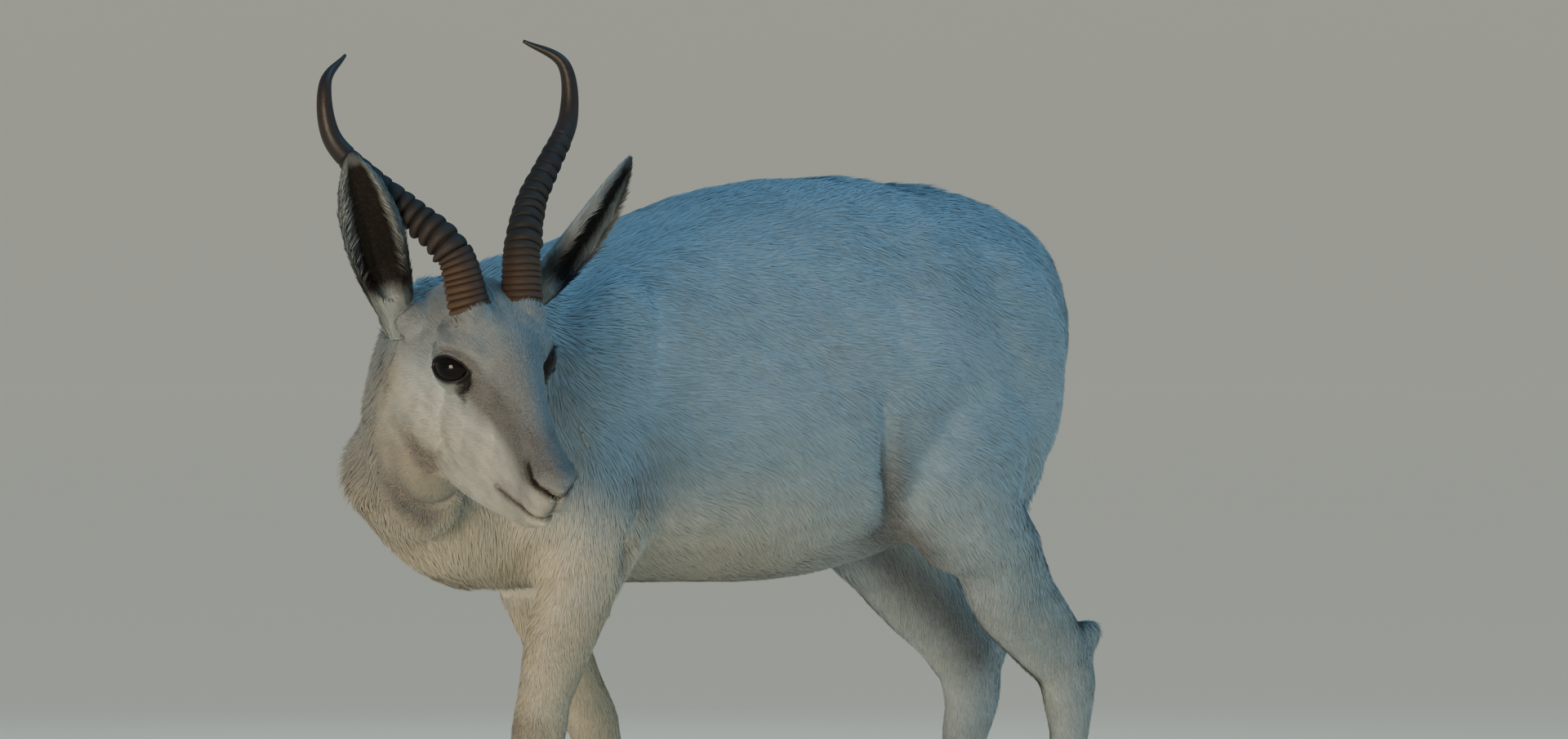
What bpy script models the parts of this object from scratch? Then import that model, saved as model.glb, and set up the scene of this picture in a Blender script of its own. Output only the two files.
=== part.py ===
"""White springbok ram, standing with its head turned to its left: closed solids in metres, +Z up.

The animal faces -X and its left side is -Y. Tables of stations are in centimetres: they give the
outer surface of the coat, and CM turns them into metres. The head is modelled in a frame of its
own, x from the eyes to the nose, y to the animal's left and z up, and is then set in its pose.
The flesh is blended from lofts and ellipsoids into one skin, which thin cuts part into nodes.
"""

import math
from collections import namedtuple

import bmesh
import bpy
import numpy as np
from mathutils import Euler, Matrix, Vector

CM = 0.01
GAP = 0.0003
UP = Vector((0, 0, 1))
FORE_AFT = Vector((1, 0, 0))

# Driving dimensions, in metres and degrees
HEAD_SCALE = 1.09
HEAD_TURN = 80.6
HEAD_DROP = 32.7
HEAD_TILT = 5.5
EYES_CENTRE = Vector((-0.447, -0.200, 0.639))
EYE_RADIUS = 0.0210
EYE_SETTING = Vector((0.0, 3.75, 0.15))
EYE_FACING = Vector((0.55, 0.78, 0.25))
EYE_OPENING = (0.0205, 0.0130, 0.0140)
LID_THICKNESS = 0.0028
HORN_BASE_RADIUS = 0.0195
HORN_RINGS = (0.07, 0.26, 0.64)
CLOSE_RINGS = 9
WIDE_RINGS = 9
RING_RELIEF = 0.05
EAR_WIDTH = 0.058
EAR_DEPTH = 0.028
EAR_WALL = 0.0022
MOUTH_GROOVE = 0.0012
NOSTRIL_GROOVE = 0.0021
CORONET_HEIGHT = 0.037
CLAW_SPREAD = 0.0125
CLAW_HALF_WIDTH = 0.0113
CLAW_LENGTH = 0.058
KNEE_CUT = 0.285
HOCK_CUT = 0.330
THIGH_CUT = Vector((0.27, 0, 0.499))
THIGH_CUT_SLOPE = 27.0
HEAD_CUT = (-6.2, 0, -3.0)
HEAD_CUT_LEAN = 20.6
CORONET_TILT = Vector((0.24, 0, 1)).normalized()
CLAW_TOE_REACH = 0.036
FORELEG_CUT = 0.415

# Fineness of the blended skins, their rounds of smoothing, and the triangles that each keeps
BODY_VOXEL = 0.0055
HEAD_VOXEL = 0.0028
BODY_ROUNDS = 130
HEAD_ROUNDS = 36
BODY_TRIANGLES = 5200
HEAD_TRIANGLES = 2300

# A station is a section's centre, its half side and half height, and how much fuller it is below
Station = namedtuple("Station", "x y z side up egg", defaults=[0.0])

TORSO = [
    Station(-35.0, 0, 55.0, 4.5, 6.5),
    Station(-33.5, 0, 55.2, 8.0, 11.0, 0.05),
    Station(-28, 0, 57.4, 11.6, 16.0, 0.05),
    Station(-20, 0, 58.6, 13.9, 17.2, 0.10),
    Station(-10, 0, 59.8, 15.6, 18.6, 0.14),
    Station(0, 0, 61.0, 16.6, 20.0, 0.16),
    Station(10, 0, 62.0, 16.8, 20.0, 0.14),
    Station(20, 0, 63.6, 16.2, 18.6, 0.06),
    Station(28, 0, 65.6, 14.2, 15.9, 0.0),
    Station(36, 0, 67.0, 10.4, 12.0, 0.0),
    Station(41.0, 0, 67.6, 6.0, 8.2, 0.0),
    Station(43.6, 0, 67.8, 2.6, 4.0, 0.0),
]
NECK = [
    Station(-20, 0, 59.5, 12.0, 15.8),
    Station(-28, 0, 58.6, 10.6, 14.8, 0.10),
    Station(-35, -0.8, 59.2, 8.4, 13.5, 0.20),
    Station(-40.4, -3.6, 60.2, 5.9, 12.4, 0.36),
    Station(-43.4, -7.0, 61.2, 5.5, 11.0, 0.32),
    Station(-44.6, -11.0, 62.9, 5.5, 9.3, 0.24),
    Station(-45.0, -15.0, 64.6, 5.3, 7.4, 0.10),
    Station(-44.9, -18.0, 65.0, 4.2, 5.4),
]
# Heavy chest and lower neck, pushed forward under the throat
CHEST = [
    Station(-16, 0, 52.0, 10.0, 10.6),
    Station(-24, 0, 50.6, 10.4, 9.7),
    Station(-31, -0.4, 50.6, 9.2, 9.4),
    Station(-37.4, -2.0, 52.2, 6.9, 8.9),
    Station(-42.8, -2.5, 54.3, 6.0, 6.7),
    Station(-46.8, -3.3, 56.0, 3.0, 5.2),
]
FORELEG_LEFT = [
    Station(-22.5, -9.0, 57, 4.8, 8.5),
    Station(-23.5, -9.6, 50, 4.4, 6.6),
    Station(-25.5, -8.6, 42, 3.5, 4.6),
    Station(-27.4, -8.2, 37, 2.9, 3.8),
    Station(-29.0, -8.0, 31.6, 2.5, 2.9),
    Station(-29.8, -8.0, 28.0, 2.6, 2.8),
    Station(-30.6, -8.0, 24.4, 2.1, 2.1),
    Station(-32.0, -8.0, 18.0, 1.6, 1.75),
    Station(-33.4, -8.0, 12.0, 1.6, 1.8),
    Station(-33.9, -8.0, 9.4, 2.0, 2.2),
    Station(-35.0, -8.0, 6.4, 1.8, 1.9),
    Station(-36.4, -8.0, 3.6, 2.15, 2.3),
    Station(-36.9, -8.0, 2.4, 2.1, 2.2),
]
FORELEG_RIGHT = [
    Station(-23.0, 9.0, 57, 4.8, 8.5),
    Station(-22.0, 8.6, 50, 4.4, 6.6),
    Station(-19.6, 6.6, 42, 3.5, 4.6),
    Station(-17.6, 5.4, 37, 2.9, 3.8),
    Station(-14.9, 4.4, 31.4, 2.5, 2.9),
    Station(-13.4, 4.0, 28.0, 2.6, 2.8),
    Station(-12.0, 3.8, 24.4, 2.1, 2.1),
    Station(-9.6, 3.6, 18.0, 1.6, 1.75),
    Station(-7.4, 3.5, 12.0, 1.6, 1.8),
    Station(-6.8, 3.5, 9.4, 2.0, 2.2),
    Station(-7.8, 3.5, 6.4, 1.8, 1.9),
    Station(-9.2, 3.5, 3.6, 2.15, 2.3),
    Station(-9.7, 3.5, 2.4, 2.1, 2.2),
]
HINDLEG_LEFT = [
    Station(20.0, -9.5, 62, 6.5, 13.0),
    Station(20.0, -10.8, 54, 6.4, 11.5),
    Station(22.6, -11.0, 48.5, 5.4, 7.6),
    Station(26.1, -10.5, 45.0, 4.5, 5.5),
    Station(30.1, -9.5, 39.9, 3.4, 5.0),
    Station(34.3, -8.9, 36.0, 2.6, 4.3),
    Station(37.6, -8.6, 32.6, 2.4, 3.7),
    Station(38.4, -8.5, 28.6, 2.2, 3.0),
    Station(38.4, -8.5, 24.6, 1.8, 2.2),
    Station(38.0, -8.5, 17.0, 1.55, 1.8),
    Station(37.6, -8.5, 12.0, 1.6, 1.8),
    Station(37.6, -8.5, 9.4, 2.0, 2.2),
    Station(36.4, -8.5, 6.4, 1.8, 1.9),
    Station(34.9, -8.5, 3.6, 2.1, 2.25),
    Station(34.3, -8.5, 2.4, 2.05, 2.15),
]
HINDLEG_RIGHT = [
    Station(24.0, 9.5, 62, 6.5, 11.5),
    Station(25.0, 10.4, 54, 6.2, 10.4),
    Station(28.0, 10.4, 48, 5.3, 8.2),
    Station(31.2, 10.0, 43.5, 4.5, 6.6),
    Station(34.2, 9.3, 39.3, 3.5, 5.5),
    Station(37.2, 8.7, 35.6, 2.7, 4.5),
    Station(39.6, 8.3, 32.2, 2.5, 4.2),
    Station(40.0, 8.1, 28.4, 2.3, 3.4),
    Station(38.9, 8.0, 24.2, 2.0, 2.6),
    Station(37.2, 8.0, 17.0, 1.6, 1.9),
    Station(36.0, 8.0, 12.0, 1.6, 1.8),
    Station(35.6, 8.0, 9.4, 2.0, 2.2),
    Station(34.4, 8.0, 6.4, 1.8, 1.9),
    Station(32.9, 8.0, 3.6, 2.1, 2.25),
    Station(32.3, 8.0, 2.4, 2.05, 2.15),
]
FACE = [
    Station(-9.2, 0, -0.6, 2.6, 2.6),
    Station(-7.6, 0, -0.2, 3.9, 4.1),
    Station(-5.0, 0, 0.4, 4.5, 4.8),
    Station(-2.5, 0, 0.7, 4.5, 5.1),
    Station(0, 0, 0.4, 4.2, 5.0),
    Station(2.5, 0, -0.4, 3.3, 4.7),
    Station(5, -0.05, -1.3, 2.6, 4.2),
    Station(8, -0.15, -2.3, 2.2, 3.7),
    Station(11, -0.25, -3.0, 2.15, 3.2),
    Station(13.2, -0.3, -3.5, 2.2, 2.8),
    Station(14.7, -0.35, -3.8, 1.8, 2.2),
    Station(15.5, -0.35, -3.9, 0.9, 1.2),
]
JAW = [
    Station(-6.5, 0, -4.6, 2.8, 2.8),
    Station(-4.0, 0, -6.3, 3.9, 4.2, 0.20),
    Station(-1, 0, -7.4, 4.2, 4.0, 0.35),
    Station(3, 0, -7.8, 3.8, 3.7, 0.35),
    Station(6, -0.1, -7.8, 3.15, 3.1, 0.30),
    Station(9, -0.2, -7.6, 2.4, 2.4, 0.20),
    Station(11.5, -0.25, -7.4, 1.75, 1.8),
    Station(13.2, -0.3, -7.1, 1.15, 1.1),
    Station(14.0, -0.3, -7.0, 0.6, 0.5),
]
# Horn centre line in the head frame, and its radius as a share of the base radius
HORN_LINE = [
    (-0.6, 2.1, 3.2, 1.00),
    (-2.1, 2.5, 5.1, 1.00),
    (-5.3, 3.3, 8.6, 0.86),
    (-9.4, 5.7, 10.1, 0.72),
    (-12.6, 8.7, 11.9, 0.60),
    (-15.5, 11.4, 14.3, 0.48),
    (-18.3, 11.5, 18.0, 0.31),
    (-21.0, 8.6, 19.0, 0.08),
]
LEGS = {
    "foreleg_left": FORELEG_LEFT,
    "foreleg_right": FORELEG_RIGHT,
    "hindleg_left": HINDLEG_LEFT,
    "hindleg_right": HINDLEG_RIGHT,
}
# Root, tip and opening of each ear in the head frame: the right one stands up, the left one out
EARS = {
    "right": ((-7.2, -6.3, 0.9), (-11.6, -11.4, 15.0), (0.67, -0.50, 0.55)),
    "left": ((-7.4, 6.2, 0.8), (-10.4, 15.3, 13.0), (0.90, 0.40, -0.08)),
}
COLOURS = {
    "coat": ((0.80, 0.76, 0.70), 0.9),
    "horn": ((0.09, 0.055, 0.035), 0.5),
    "hoof": ((0.05, 0.045, 0.04), 0.45),
    "eye": ((0.012, 0.009, 0.008), 0.08),
}


def head_frame():
    """The head's pose: turned to the left from -X, its nose dropped and its left side raised."""
    turn = math.radians(HEAD_TURN)
    drop = math.radians(HEAD_DROP)
    tilt = math.radians(HEAD_TILT)
    heading = Vector((-math.cos(turn), -math.sin(turn), 0))
    forward = heading * math.cos(drop) - UP * math.sin(drop)
    level = UP.cross(heading)
    left = level * math.cos(tilt) + forward.cross(level) * math.sin(tilt)
    axes = Matrix((forward, left, forward.cross(left))).transposed().to_4x4()
    return Matrix.Translation(EYES_CENTRE) @ axes


HEAD_POSE = head_frame()
HEAD = HEAD_POSE @ Matrix.Scale(HEAD_SCALE * CM, 4)
BODY = Matrix.Scale(CM, 4)


def on_head(x, y, z):
    """A point given in the head's own centimetres, in metres of the body frame."""
    return HEAD @ Vector((x, y, z))


def head_direction(x, y, z):
    """A direction given in the head frame, as a unit vector of the body frame."""
    return (HEAD.to_3x3() @ Vector((x, y, z))).normalized()


def spaced(rows, steps):
    """Rows of numbers joined by smooth curves, with steps pieces between neighbours."""
    table = np.array(rows, dtype=float)
    first = 2 * table[0] - table[1]
    last = 2 * table[-1] - table[-2]
    padded = np.vstack([first, table, last])
    result = []
    for i in range(1, len(padded) - 2):
        a, b, c, d = padded[i - 1:i + 3]
        for step in range(steps):
            t = step / steps
            curve = 2 * b + (c - a) * t + (2 * a - 5 * b + 4 * c - d) * t * t
            result.append((curve + (3 * b - a - 3 * c + d) * t ** 3) / 2)
    result.append(table[-1])
    return np.array(result)


def loft(bm, stations, matrix, upward, sides=28, steps=4):
    """A closed skin through elliptic sections that stand across the line of their centres."""
    rows = spaced(stations, steps)
    centres = [Vector(row[:3]) for row in rows]
    rings = []
    for i, row in enumerate(rows):
        along = (centres[min(i + 1, len(rows) - 1)] - centres[max(i - 1, 0)]).normalized()
        up = (upward - upward.dot(along) * along).normalized()
        side = along.cross(up)
        ring = []
        for k in range(sides):
            angle = 2 * math.pi * k / sides
            out = row[3] * math.cos(angle) * (1 - row[5] * math.sin(angle))
            ring.append(bm.verts.new(matrix @ (centres[i] + side * out + up * row[4] * math.sin(angle))))
        rings.append(ring)
    for near, far in zip(rings, rings[1:]):
        for k in range(sides):
            bm.faces.new((near[k - 1], near[k], far[k], far[k - 1]))
    bm.faces.new(rings[0][::-1])
    bm.faces.new(rings[-1])


def blob(bm, centre, radii, matrix, turn=(0, 0, 0), segments=28):
    """An ellipsoid of flesh: centre and radii in centimetres, turn in degrees about x, y, z."""
    rotation = Euler([math.radians(angle) for angle in turn]).to_matrix().to_4x4()
    place = matrix @ Matrix.Translation(Vector(centre)) @ rotation @ Matrix.Diagonal((*radii, 1))
    bmesh.ops.create_uvsphere(bm, u_segments=segments, v_segments=segments // 2, radius=1,
                              matrix=place)


def blob_pair(bm, centre, radii, matrix, turn=(0, 0, 0)):
    """The same ellipsoid on both sides of the middle plane."""
    for side in (-1, 1):
        mirrored = (centre[0], side * centre[1], centre[2])
        blob(bm, mirrored, radii, matrix, (side * turn[0], turn[1], side * turn[2]))


def new_object(name, bm, collection):
    """A mesh object from a bmesh, with its faces pointing out."""
    bmesh.ops.recalc_face_normals(bm, faces=bm.faces)
    mesh = bpy.data.meshes.new(name)
    bm.to_mesh(mesh)
    bm.free()
    obj = bpy.data.objects.new(name, mesh)
    collection.objects.link(obj)
    return obj


def apply_modifiers(obj):
    """The object's mesh as its modifiers leave it."""
    graph = bpy.context.evaluated_depsgraph_get()
    mesh = bpy.data.meshes.new_from_object(obj.evaluated_get(graph))
    obj.modifiers.clear()
    obj.data = mesh


def blend(obj, voxel, rounds):
    """One skin over overlapping solids, relaxed without losing its thickness."""
    remesh = obj.modifiers.new("skin", "REMESH")
    remesh.mode = "VOXEL"
    remesh.voxel_size = voxel
    remesh.adaptivity = 0
    apply_modifiers(obj)
    mesh = obj.data
    count = len(mesh.vertices)
    place = np.empty(count * 3)
    mesh.vertices.foreach_get("co", place)
    place = place.reshape(count, 3)
    edges = np.empty(len(mesh.edges) * 2, dtype=np.int32)
    mesh.edges.foreach_get("vertices", edges)
    edges = edges.reshape(-1, 2)
    links = np.bincount(edges.ravel(), minlength=count)[:, None]
    for _ in range(rounds):
        for share in (0.60, -0.62):
            total = np.zeros_like(place)
            for axis in range(3):
                total[:, axis] += np.bincount(edges[:, 0], place[edges[:, 1], axis], count)
                total[:, axis] += np.bincount(edges[:, 1], place[edges[:, 0], axis], count)
            place += share * (total / links - place)
    mesh.vertices.foreach_set("co", place.ravel())
    mesh.update()


def thin_out(obj, triangles):
    """Fewer faces, kept where the form bends most."""
    triangulate = obj.modifiers.new("triangles", "TRIANGULATE")
    triangulate.quad_method = "SHORTEST_DIAGONAL"
    apply_modifiers(obj)
    decimate = obj.modifiers.new("fewer", "DECIMATE")
    decimate.ratio = min(1.0, triangles / len(obj.data.polygons))
    apply_modifiers(obj)


def boolean(obj, cutter, operation):
    """One Boolean between two closed meshes, applied."""
    modifier = obj.modifiers.new(operation.lower(), "BOOLEAN")
    modifier.operation = operation
    modifier.object = cutter
    apply_modifiers(obj)


def islands(obj):
    """The closed surfaces of a mesh, largest box first, as lists of face indices."""
    bm = bmesh.new()
    bm.from_mesh(obj.data)
    bm.faces.ensure_lookup_table()
    seen = set()
    found = []
    for start in bm.faces:
        if start.index in seen:
            continue
        seen.add(start.index)
        todo = [start]
        faces = []
        while todo:
            face = todo.pop()
            faces.append(face.index)
            for edge in face.edges:
                for other in edge.link_faces:
                    if other.index not in seen:
                        seen.add(other.index)
                        todo.append(other)
        found.append(faces)
    bm.free()
    return sorted(found, key=len, reverse=True)


def keep_faces(obj, faces):
    """Keep only the listed faces of a mesh."""
    bm = bmesh.new()
    bm.from_mesh(obj.data)
    kept = set(faces)
    dropped = [face for face in bm.faces if face.index not in kept]
    bmesh.ops.delete(bm, geom=dropped, context="FACES")
    bm.to_mesh(obj.data)
    bm.free()


def keep_largest(obj):
    """Drop the loose scraps of a cut or a union."""
    keep_faces(obj, islands(obj)[0])


def clean(obj):
    """Triangles only, with no slivers left by a cut."""
    bm = bmesh.new()
    bm.from_mesh(obj.data)
    bmesh.ops.remove_doubles(bm, verts=bm.verts, dist=0.00002)
    bmesh.ops.dissolve_degenerate(bm, edges=bm.edges, dist=0.00002)
    bmesh.ops.triangulate(bm, faces=bm.faces)
    bm.to_mesh(obj.data)
    bm.free()


def slab(name, place, size, guides):
    """A thin plate, in the plane of the given frame, that parts what it passes through."""
    bm = bmesh.new()
    bmesh.ops.create_cube(bm, size=1, matrix=place @ Matrix.Diagonal((*size, GAP, 1)))
    return guide(new_object(name, bm, guides))


def guide(obj):
    """Mark a cutter as a guide that isn't part of the animal."""
    obj.hide_render = True
    obj.display_type = "WIRE"
    return obj


def swollen(obj, amount, guides):
    """A copy of a solid pushed out along its normals, to cut its neighbour clear of it."""
    copy = bpy.data.objects.new(obj.name + "_clearance", obj.data.copy())
    guides.objects.link(copy)
    displace = copy.modifiers.new("push", "DISPLACE")
    displace.strength = amount
    displace.mid_level = 0
    apply_modifiers(copy)
    return guide(copy)


def body_flesh(bm):
    """Torso, neck and legs, out to the coat's surface."""
    loft(bm, TORSO, BODY, UP, sides=36)
    loft(bm, NECK, BODY, UP, sides=32)
    loft(bm, CHEST, BODY, UP)
    for leg in (FORELEG_LEFT, FORELEG_RIGHT, HINDLEG_LEFT, HINDLEG_RIGHT):
        loft(bm, leg, BODY, FORE_AFT)
    # Shoulder blade, point of the shoulder, and the brisket between the forelegs
    blob_pair(bm, (-22.5, 7.9, 60), (9.0, 5.8, 13), BODY, (0, 14, 0))
    blob_pair(bm, (-26.5, 6.9, 54), (8.5, 5.6, 10), BODY)
    # Throat, filled out between the turned neck and the chest
    blob(bm, (-42.4, -5.4, 51.4), (4.4, 4.8, 5.0), BODY)
    blob(bm, (-44.8, -6.3, 55.0), (4.2, 4.6, 6.2), BODY)
    # Haunches, which taper into the shank behind
    blob_pair(bm, (24.5, 8.2, 61), (12.5, 7.5, 16), BODY, (0, 14, 0))
    blob_pair(bm, (28.5, 7.5, 60), (8.5, 6.0, 13), BODY, (0, 8, 0))
    blob_pair(bm, (30.5, 4.6, 57), (8.5, 4.8, 12), BODY, (0, 4, 0))
    # Points of the hocks and the dewclaws behind the fetlocks
    for tip, leg in (((40.4, -8.5, 35.0), HINDLEG_LEFT), ((42.7, 8.0, 33.2), HINDLEG_RIGHT)):
        blob(bm, tip, (1.9, 1.5, 2.6), BODY, (0, 30, 0))
    for leg in (FORELEG_LEFT, FORELEG_RIGHT, HINDLEG_LEFT, HINDLEG_RIGHT):
        fetlock = leg[-4]
        for side in (-1, 1):
            blob(bm, (fetlock.x + 2.2, fetlock.y + 0.9 * side, fetlock.z - 1.2),
                 (0.6, 0.55, 0.9), BODY, (0, -30, 0))


def head_flesh(bm):
    """Skull, cheeks, muzzle and jaw, in the head frame."""
    loft(bm, FACE, HEAD, UP)
    loft(bm, JAW, HEAD, UP)
    blob_pair(bm, (-2.2, 2.8, -4.8), (6.0, 2.0, 4.4), HEAD, (0, 10, -4))
    blob_pair(bm, (3.6, 1.7, -5.6), (5.2, 1.7, 3.0), HEAD, (0, 8, -4))
    blob_pair(bm, (-4.2, 3.0, -7.0), (3.4, 2.3, 3.4), HEAD)
    # Orbits and brows, and the bony ridge that runs down from each eye
    blob_pair(bm, (-0.4, 3.7, 0.2), (3.0, 1.8, 2.6), HEAD)
    blob_pair(bm, (-0.6, 4.1, 1.9), (2.6, 1.3, 1.0), HEAD, (0, 10, 0))
    blob_pair(bm, (2.6, 2.6, -1.9), (3.8, 1.0, 1.7), HEAD, (0, 12, -12))
    blob_pair(bm, (1.4, 2.5, -3.2), (4.4, 1.1, 2.0), HEAD, (0, 10, -6))
    blob_pair(bm, (6.6, 1.25, -4.9), (6.4, 1.25, 2.2), HEAD, (0, 4, 0))
    # Roots of the ears, the cores of the horns and the forehead that carries them
    blob_pair(bm, (-6.6, 4.6, 0.6), (2.1, 2.5, 1.9), HEAD, (20, 0, 20))
    blob_pair(bm, (-1.0, 2.25, 3.7), (2.15, 2.1, 2.6), HEAD, (0, -38, 0))
    blob_pair(bm, (0.6, 1.9, 2.9), (3.4, 2.5, 1.6), HEAD, (0, 22, 0))
    # Lips, nose pad and chin
    blob_pair(bm, (12.3, 0.9, -5.3), (2.7, 1.2, 1.35), HEAD)
    blob_pair(bm, (13.2, 0.95, -2.8), (1.8, 1.15, 1.4), HEAD)
    blob(bm, (14.1, -0.35, -3.5), (1.5, 1.6, 1.8), HEAD)
    blob(bm, (12.2, -0.3, -7.3), (1.7, 1.5, 1.1), HEAD)


def eye_place(side):
    """Centre of an eyeball and the direction that it faces."""
    centre = on_head(EYE_SETTING.x, side * EYE_SETTING.y, EYE_SETTING.z)
    return centre, head_direction(EYE_FACING.x, side * EYE_FACING.y, EYE_FACING.z)


def sphere(name, centre, radius, collection, segments=32):
    """A ball at a point in metres."""
    bm = bmesh.new()
    bmesh.ops.create_uvsphere(bm, u_segments=segments, v_segments=segments // 2, radius=radius,
                              matrix=Matrix.Translation(centre))
    return new_object(name, bm, collection)


def eyelids(head, guides):
    """A rim of flesh round each eye, opened to an almond over the eyeball."""
    for side, label in ((-1, "right"), (1, "left")):
        centre, facing = eye_place(side)
        lids = guide(sphere("lids_" + label, centre + facing * 0.0002, EYE_RADIUS + LID_THICKNESS, guides, 18))
        boolean(head, lids, "UNION")
    for side, label in ((-1, "right"), (1, "left")):
        centre, facing = eye_place(side)
        socket = guide(sphere("socket_" + label, centre, EYE_RADIUS + 3 * GAP, guides, 18))
        boolean(head, socket, "DIFFERENCE")
        # The opening is longest from the inner corner, in front, to the outer one
        corner = head_direction(0.83, -side * 0.55, 0.15)
        across = facing.cross(corner).normalized()
        along = across.cross(facing)
        axes = Matrix((along, across, facing)).transposed().to_4x4()
        bm = bmesh.new()
        place = Matrix.Translation(centre + facing * EYE_RADIUS) @ axes
        bmesh.ops.create_uvsphere(bm, u_segments=16, v_segments=8, radius=1,
                                  matrix=place @ Matrix.Diagonal((*EYE_OPENING, 1)))
        opening = guide(new_object("opening_" + label, bm, guides))
        boolean(head, opening, "DIFFERENCE")


def groove(head, name, points, radius, guides):
    """A furrow along the head's surface, cut by a tube through the points nearest to the given ones."""
    inverse = HEAD.inverted()
    on_surface = []
    for point in points:
        _, place, _, _ = head.closest_point_on_mesh(on_head(*point))
        on_surface.append(inverse @ place)
    reach = radius / (HEAD_SCALE * CM)
    bm = bmesh.new()
    loft(bm, [Station(*place, reach, reach) for place in on_surface], HEAD, Vector((0, 0.3, 1)),
         sides=6, steps=2)
    boolean(head, guide(new_object(name, bm, guides)), "DIFFERENCE")


def mouth_and_nostrils(head, guides):
    """The mouth line round the muzzle, the curved nostrils and the cleft below the nose."""
    middle = -0.35
    half_mouth = [(8.6, 2.6, -7.1), (10.2, 2.4, -7.0), (11.8, 2.1, -6.9), (13.2, 1.5, -6.7)]
    right = [(x, middle - y, z) for x, y, z in half_mouth]
    left = [(x, middle + y, z) for x, y, z in reversed(half_mouth)]
    groove(head, "mouth_line", right + [(15.0, middle, -6.3)] + left, MOUTH_GROOVE, guides)
    for side, label in ((-1, "right"), (1, "left")):
        slit = [(13.2, 2.3, -1.9), (13.9, 2.0, -2.7), (14.8, 1.4, -3.4), (15.8, 0.5, -3.8)]
        groove(head, "nostril_" + label, [(x, middle + side * y, z) for x, y, z in slit],
               NOSTRIL_GROOVE, guides)
    groove(head, "cleft", [(15.9, middle, -3.6), (15.8, middle, -5.0), (15.2, middle, -6.2)],
           MOUTH_GROOVE, guides)


def horn(name, side, collection):
    """A ringed horn that sweeps back, out and up, with a smooth tip that hooks in."""
    rows = spaced([(x, side * y, z, share) for x, y, z, share in HORN_LINE], 24)
    steps = np.linalg.norm(np.diff(rows[:, :3], axis=0), axis=1)
    travelled = np.concatenate([[0], np.cumsum(steps)]) / steps.sum()
    first, change, last = HORN_RINGS
    wanted = [0.0]
    for start, end, count in ((first, change, CLOSE_RINGS), (change, last, WIDE_RINGS)):
        width = (end - start) / count
        for i in range(count):
            wanted += [start + i * width, start + (i + 0.55) * width]
    wanted += [last + (1 - last) * step for step in (0.05, 0.25, 0.45, 0.62, 0.77, 0.89, 1.0)]
    bm = bmesh.new()
    sides = 12
    rings = []
    for number, share in enumerate(wanted):
        row = np.array([np.interp(share, travelled, rows[:, axis]) for axis in range(4)])
        ahead = np.array([np.interp(min(share + 0.02, 1), travelled, rows[:, axis]) for axis in range(3)])
        behind = np.array([np.interp(max(share - 0.02, 0), travelled, rows[:, axis]) for axis in range(3)])
        along = Vector(ahead - behind).normalized()
        out = (Vector((0, side, 0)) - Vector((0, side, 0)).dot(along) * along).normalized()
        up = along.cross(out)
        ringed = first <= share < last
        swell = 1.0 + (RING_RELIEF if number % 2 == 0 else -RING_RELIEF) * ringed
        radius = row[3] * HORN_BASE_RADIUS / (HEAD_SCALE * CM) * swell
        ring = []
        for k in range(sides):
            angle = 2 * math.pi * k / sides
            offset = out * math.cos(angle) * 0.94 + up * math.sin(angle) * 1.06
            ring.append(bm.verts.new(HEAD @ (Vector(row[:3]) + offset * radius)))
        rings.append(ring)
    for near, far in zip(rings, rings[1:]):
        for k in range(sides):
            bm.faces.new((near[k - 1], near[k], far[k], far[k - 1]))
    bm.faces.new(rings[0][::-1])
    bm.faces.new(rings[-1])
    return new_object(name, bm, collection)


def ear(name, root, tip, opening, collection, guides):
    """A long leaf-shaped ear, scooped out on the side that it opens to."""
    along = (tip - root).normalized()
    face = (opening - opening.dot(along) * along).normalized()
    side = along.cross(face)
    length = (tip - root).length
    axes = Matrix((along, side, face)).transposed().to_4x4()
    place = Matrix.Translation(root) @ axes @ Matrix.Scale(length, 4)
    half = EAR_WIDTH / 2 / length
    deep = EAR_DEPTH / 2 / length
    profile = [(-0.12, 0.50, 0.80), (0.0, 0.55, 0.90), (0.12, 0.68, 1.0), (0.28, 0.86, 0.98),
               (0.47, 1.0, 0.85), (0.66, 0.95, 0.65), (0.80, 0.76, 0.45), (0.91, 0.50, 0.28),
               (0.97, 0.26, 0.16), (1.0, 0.07, 0.08)]
    bm = bmesh.new()
    loft(bm, [Station(t, 0, 0.05 * math.sin(math.pi * max(t, 0)), half * w, deep * d)
              for t, w, d in profile], place, UP, sides=14, steps=1)
    cup = new_object(name, bm, collection)
    wall = EAR_WALL / length
    bm = bmesh.new()
    hollow = []
    for t, w, d in profile[2:-1]:
        closing = math.sin(math.pi / 2 * min(1, (t - 0.07) / 0.2, (0.985 - t) / 0.1))
        hollow.append(Station(t, 0, 0.05 * math.sin(math.pi * t) + deep * d * 0.95,
                              max(half * w - wall * 0.7, wall) * closing,
                              max(deep * d * 1.75 - wall, wall) * closing))
    loft(bm, hollow, place, UP, sides=14, steps=1)
    scoop = guide(new_object(name + "_scoop", bm, guides))
    boolean(cup, scoop, "DIFFERENCE")
    keep_largest(cup)
    return cup


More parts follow.
